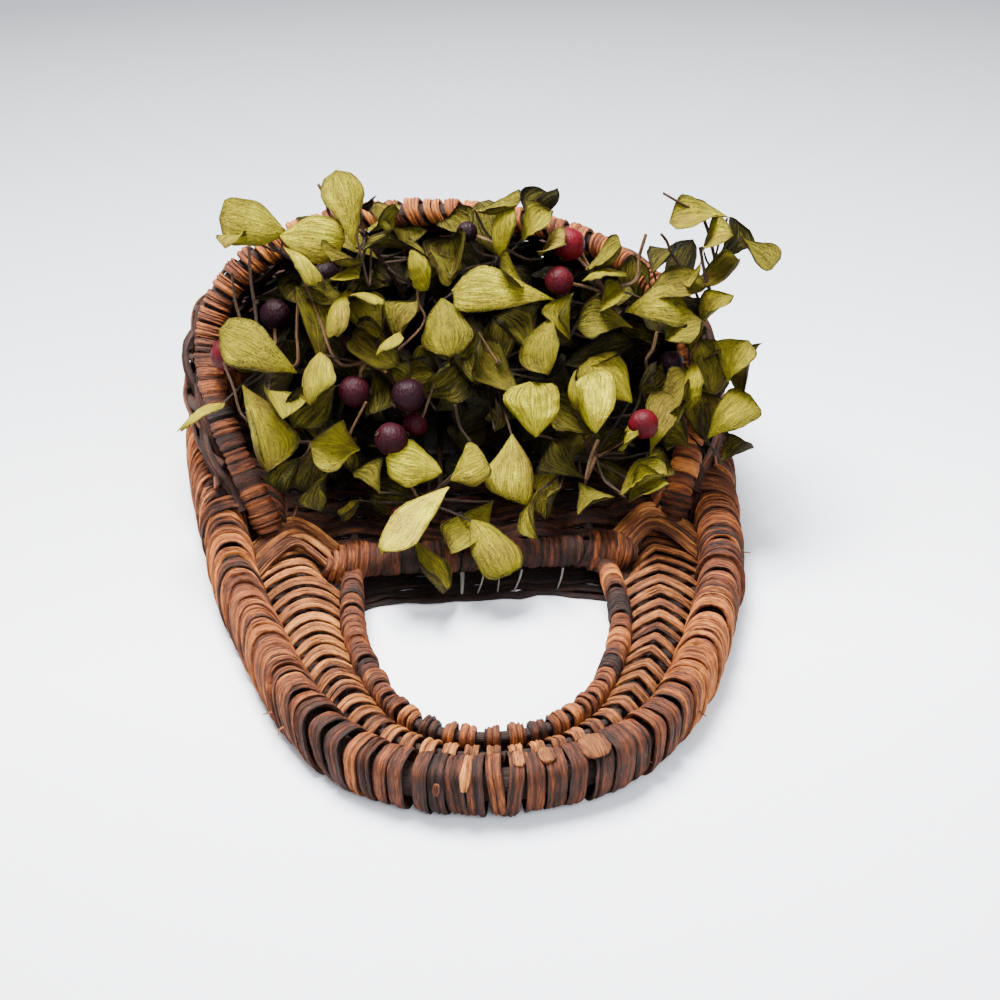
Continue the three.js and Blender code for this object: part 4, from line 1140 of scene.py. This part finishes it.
def paired_leaves(skins):
    """Leaves in pairs along each stem, a little below those that show"""
    for own, stem in enumerate(stems):
        for i, share in enumerate(LEAF_PAIR_SHARES):
            base, along = stem.at(share * stem.length), stem.way(share * stem.length)
            side = turned(unit(np.cross(along, MOUTH_UP)), along, own + i * GOLDEN_TURN)
            for way in (1, -1):
                out = unit(along * 0.55 + side * way + rng.normal(0, 0.12, 3))
                start = base - VIEW_BACK * 4.5
                tip = start + out * rng.uniform(15, 19)
                if min(start[2], tip[2]) < PAD_TOP + 4 or outside(tip) or crowded(start, tip):
                    continue
                facing = unit(np.cross(np.cross(out, MOUTH_NORMAL), out) + rng.normal(0, 0.35, 3))
                grow(skins, start, tip, facing, rng.uniform(11, 14.5), rng.uniform(0.14, 0.5), curled(),
                     either(rng.uniform(0.3, 1.1)), rng.uniform(-0.8, 0.8), own)


def inner_leaves(skins):
    """Leaves that fill the pocket under the others, dark-toned as painted shade of the pocket's inside"""
    for _ in range(INNER_LEAVES):
        across, up = rng.uniform(-0.85, 0.9), rng.uniform(-0.12, 0.92)
        if (across / FILL_HALF_WIDTH) ** 2 + ((up - FILL_MIDDLE) / FILL_HALF_HEIGHT) ** 2 > 1:
            continue
        centre = foliage_at(across, up, rng.uniform(-2.4, 0.15))
        way = unit(MOUTH_NORMAL * 0.3 + [0.4 * across, 0, 0] + rng.normal(0, 0.6, 3))
        half = way * rng.uniform(7, 10)
        base, tip = centre - half, centre + half
        if min(base[2], tip[2]) < PAD_TOP + 3 or min(front_clearance(base), front_clearance(tip)) < 5:
            continue
        if min(base[1], tip[1]) < HANDLE_REACH + 6 or outside(base) or outside(tip) or crowded(base, tip):
            continue
        facing = unit(VIEW_BACK + rng.normal(0, 0.7, 3))
        grow(skins, base, tip, facing, rng.uniform(11, 15), rng.uniform(0.0, 0.22), curled(),
             either(rng.uniform(0.3, 1.0)), rng.uniform(-0.7, 0.7))


# Thin stems that show in the photograph, in its pixels: free end, then where each goes in
TWIG_PIXELS = [
    (249, 247, 256, 318), (232, 273, 238, 312), (293, 251, 340, 364), (223, 362, 243, 416),
    (298, 299, 297, 364), (356, 234, 369, 286), (418, 281, 425, 320), (434, 383, 419, 420),
    (663, 193, 701, 215), (646, 234, 636, 280), (661, 234, 671, 252), (657, 332, 646, 362),
    (571, 234, 588, 265), (479, 333, 499, 364), (318, 184, 330, 215), (700, 247, 712, 300),
    (455, 405, 472, 450), (366, 402, 340, 455), (598, 440, 586, 480),
]


def photographed_twigs(skins):
    for x, y, inner_x, inner_y in TWIG_PIXELS:
        end, inner = seen(x, y, dome(x, y) + 2), seen(inner_x, inner_y, dome(inner_x, inner_y) - 3)
        own = nearest_stem(inner)
        joint = stem_marks[own][np.argmin(np.linalg.norm(stem_marks[own] - inner, axis=1))]
        places = [end, mix(end, inner, 0.5) + rng.normal(0, 0.5, 3), inner, joint]
        twig(skins[own], places, rng.uniform(0.8, 1.2), rng.uniform(0.3, 0.9), (0.9, 1.1))


def foliage():
    skins = [Skin() for _ in stems]
    for skin, stem in zip(skins, stems):
        rod(skin, stem.even(40), 2.0, 0.35, sides=8, finish=1, leans=False, ends=(1.1, 0.55))
    photographed_leaves(skins)
    photographed_twigs(skins)
    paired_leaves(skins)
    inner_leaves(skins)
    for i, skin in enumerate(skins):
        skin.place(f"spray_{i + 1}", "leaf", f"leaf_spray_{i + 1}", sharp=60)


foliage()


# Berries: wrinkled balls on short stalks, with a small dry crown
BERRY_TONES = [1.0, 0.8, 0.85, 0.3, 0.55, 0.35, 0.5, 0.85, 0.15, 0.3]
BERRY_SIZES = [10, 8.6, 10, 9.6, 9.6, 10, 10, 9, 8.8, 7.4]
SMALL_BERRIES = [(348, 343, 4.4, 0.5), (415, 424, 7.4, 0.7), (467, 232, 6.5, 0.1), (400, 515, 5.5, 0.6)]


def ball(skin, centre, width, tone):
    rows, sides = 15, 20
    polar = np.linspace(0.03, np.pi - 0.03, rows)[:, None]
    turn = (np.arange(sides) / sides * 2 * np.pi)[None, :]
    pole = unit(VIEW_BACK * 0.3 + rng.normal(0, 1, 3))
    one = unit(np.cross(pole, [0.3, 0.2, 0.9]))
    two = np.cross(pole, one)
    radius = width / 2 * (1 + 0.025 * np.sin(turn * 7 + rng.uniform(0, 6)) * np.sin(polar)
                          + 0.018 * np.sin(turn * 3 + polar * 4) - 0.06 * np.exp(-((polar / 0.3) ** 2)))
    round_way = one * np.cos(turn)[..., None] + two * np.sin(turn)[..., None]
    rings = centre + radius[..., None] * (np.sin(polar)[..., None] * round_way
                                          + pole * np.cos(polar)[..., None])
    grain = (rings - centre) + rng.uniform(0, 500)
    skin.add(rings, grain, tone)
    crown = centre + pole * width * 0.47
    for k in range(5):
        way = one * math.cos(k * 1.257) + two * math.sin(k * 1.257)
        rod(skin, np.array([crown, crown + way * 0.5 + pole * 0.3, crown + way * 0.9 + pole * 0.9]), 0.5, 0.4,
            sides=6, finish=1, leans=False, ends=(1.0, 0.5))


def berry(name, centre, width, tone, nodes=()):
    skin = Skin()
    ball(skin, centre, width, tone)
    every = np.vstack(stem_marks)
    joint = every[np.argmin(np.linalg.norm(every - centre, axis=1))]
    start = centre + unit(joint - centre) * width * 0.46
    twig(skin, [start, (start + joint) / 2 + rng.normal(0, 0.9, 3), joint], 1.1, 0.9, (1.0, 0.9))
    skin.place(name, "berry", *nodes, sharp=60)


for i, (place, width, tone) in enumerate(zip(BERRY_PLACES, BERRY_SIZES, BERRY_TONES)):
    berry(f"fruit_{i + 1}", foliage_at(*place), width, tone, [f"berry_{i + 1}"])
for i, (x, y, width, tone) in enumerate(SMALL_BERRIES):
    berry(f"small_fruit_{i + 1}", seen(x, y, dome(x, y) - 4), width, tone)


# Glue: a lumpy patch that holds the stems to the back panel, and a few thin strings of it from the
# bar, with their place along the bar, drift to the side and width
GLUE_STRINGS = [(-4.0, -0.4, 1.5), (2.6, -2.2, 0.8), (7.2, -0.8, 0.6), (14.0, -2.6, 0.8), (26.5, -2.0, 0.7)]


def glue():
    skin = Skin()
    rows, sides = 16, 40
    polar = np.linspace(0.04, np.pi / 2, rows)[:, None]
    turn = (np.arange(sides) / sides * 2 * np.pi)[None, :]
    edge = 1 - 0.05 * np.abs(np.sin(turn * 3.5 + 1)) - 0.03 * np.sin(turn * 8)
    wide = np.sin(polar) * edge
    bumps = 0.35 * np.sin(turn * 5 + polar * 6) * np.sin(2 * polar)
    top = np.stack([wide * np.cos(turn) * PAD_HALF_WIDTH, PAD_PLACE + wide * np.sin(turn) * PAD_HALF_LENGTH,
                    9.6 + 3.2 * np.cos(polar) ** 0.6 + bumps], axis=-1)
    floor = top[::-1].copy()
    floor[..., 2] = PAD_FLOOR
    rings = np.vstack([top, floor[1:]])
    skin.add(rings, rings, 0.5)
    skin.place("glue_blob", "glue", "glue_patch")
    skin = Skin()
    for x, drift, width in GLUE_STRINGS:
        places = spline([(x, HANDLE_REACH - 3.5, 7), (x + drift * 0.4, HANDLE_REACH - 5.6, 4.6),
                         (x + drift, HANDLE_REACH - 6.6, 1.2)], fine=8)
        rod(skin, places, width, 0.5, sides=6, leans=False, ends=(1.0, 0.6))
    skin.place("glue_strings", "glue", look=CLEAR_GLUE)


glue()


# Near-black strips under the first rows of the back panel, painted shade that darkens the gaps beside the
# bar: how far past the bar and how high each lies
SHADE_BESIDE_BAR = ((6.2, 2.5), (9.4, 1.9), (12.6, 2.3), (15.8, 1.8))


def backing():
    skin = Skin()
    x = np.linspace(-bar_half - 6, bar_half + 6, 70)
    for y, z in SHADE_BESIDE_BAR:
        places = np.stack([x, HANDLE_REACH + y + wander(70, 0.3, 12), z + wander(70, 0.15, 9)], axis=1)
        ribbon(skin, places, UP, 3.7, 0.9, rng.uniform(0.0, 0.1), lanes=5, flat_floor=True)
    skin.place("bar_painted_shade_strips", "bark_dark")


backing()


# Floor, light and camera
# Floor colour along its length: the table's pale colour with painted falloff of the light away from the
# camera
FLOOR_AND_FALLOFF_STOPS = [
    (0.2, (0.68, 0.7, 0.745)), (0.36, (0.76, 0.78, 0.83)), (0.45, (0.6, 0.62, 0.66)),
    (0.55, (0.42, 0.435, 0.465)), (0.66, (0.255, 0.265, 0.287)), (0.78, (0.1, 0.104, 0.115)),
]
SKY_STOPS = [(0.0, (0.3, 0.31, 0.33)), (0.6, (0.9, 0.94, 1.0))]


def floor():
    """A pale table with painted shade: darker away from the camera and a little to its sides"""
    bpy.ops.mesh.primitive_plane_add(size=8, location=(0, 0, 0))
    ground = bpy.context.object
    ground.name = "floor"
    look = Finish("floor", roughness=0.75, specular=0.2)
    place = look.new("TexCoord", "Object", {})
    colour = look.ramp(look.maths("ADD", look.new("SeparateXYZ", "Y", {"Vector": place}), 0.3), FLOOR_AND_FALLOFF_STOPS)
    aside = look.maths("SUBTRACT", look.new("SeparateXYZ", "X", {"Vector": place}), 0.06)
    painted_side_shade = look.maths("MULTIPLY", look.maths("MULTIPLY", aside, aside), 2.6)
    painted_side_shade = look.maths("MAXIMUM", look.maths("SUBTRACT", 1.0, painted_side_shade), 0.87)
    side_shaded_colour = look.new("VectorMath", "Vector", {0: colour, "Scale": painted_side_shade}, operation="SCALE")
    ground.data.materials.append(look.done(side_shaded_colour))


def area_light(name, place, target, size, watts, colour):
    data = bpy.data.lights.new(name, "AREA")
    data.energy, data.size, data.color = watts, size, colour
    light = bpy.data.objects.new(name, data)
    light.location = place
    light.rotation_euler = (Vector(target) - Vector(place)).to_track_quat("-Z", "Y").to_euler()
    bpy.context.scene.collection.objects.link(light)


def camera():
    data = bpy.data.cameras.new("camera")
    data.angle_x = CAMERA_ANGLE
    data.clip_end = 20
    view = bpy.data.objects.new("camera", data)
    turn = Matrix([[VIEW_RIGHT[k], VIEW_UP[k], VIEW_BACK[k]] for k in range(3)]).to_4x4()
    view.matrix_world = Matrix.Translation(Vector(CAMERA_PLACE * MM)) @ turn
    bpy.context.scene.collection.objects.link(view)
    bpy.context.scene.camera = view


def world():
    sky = bpy.data.worlds.new("studio")
    bpy.context.scene.world = sky
    graph = Graph(sky)
    place = graph.new("TexCoord", "Generated", {})
    background = graph.nodes["Background"].inputs
    colour = graph.ramp(graph.new("SeparateXYZ", "Z", {"Vector": place}), SKY_STOPS)
    graph.links.new(colour, background["Color"])
    background["Strength"].default_value = 1.25


floor()
area_light("key", (-0.15, 0.36, 0.8), (0, 0.1, 0.03), 0.42, 58, (1.0, 0.985, 0.97))
area_light("fill", (0.3, -0.6, 0.8), (0, 0.05, 0.03), 0.8, 11, (0.96, 0.98, 1.0))
world()
camera()
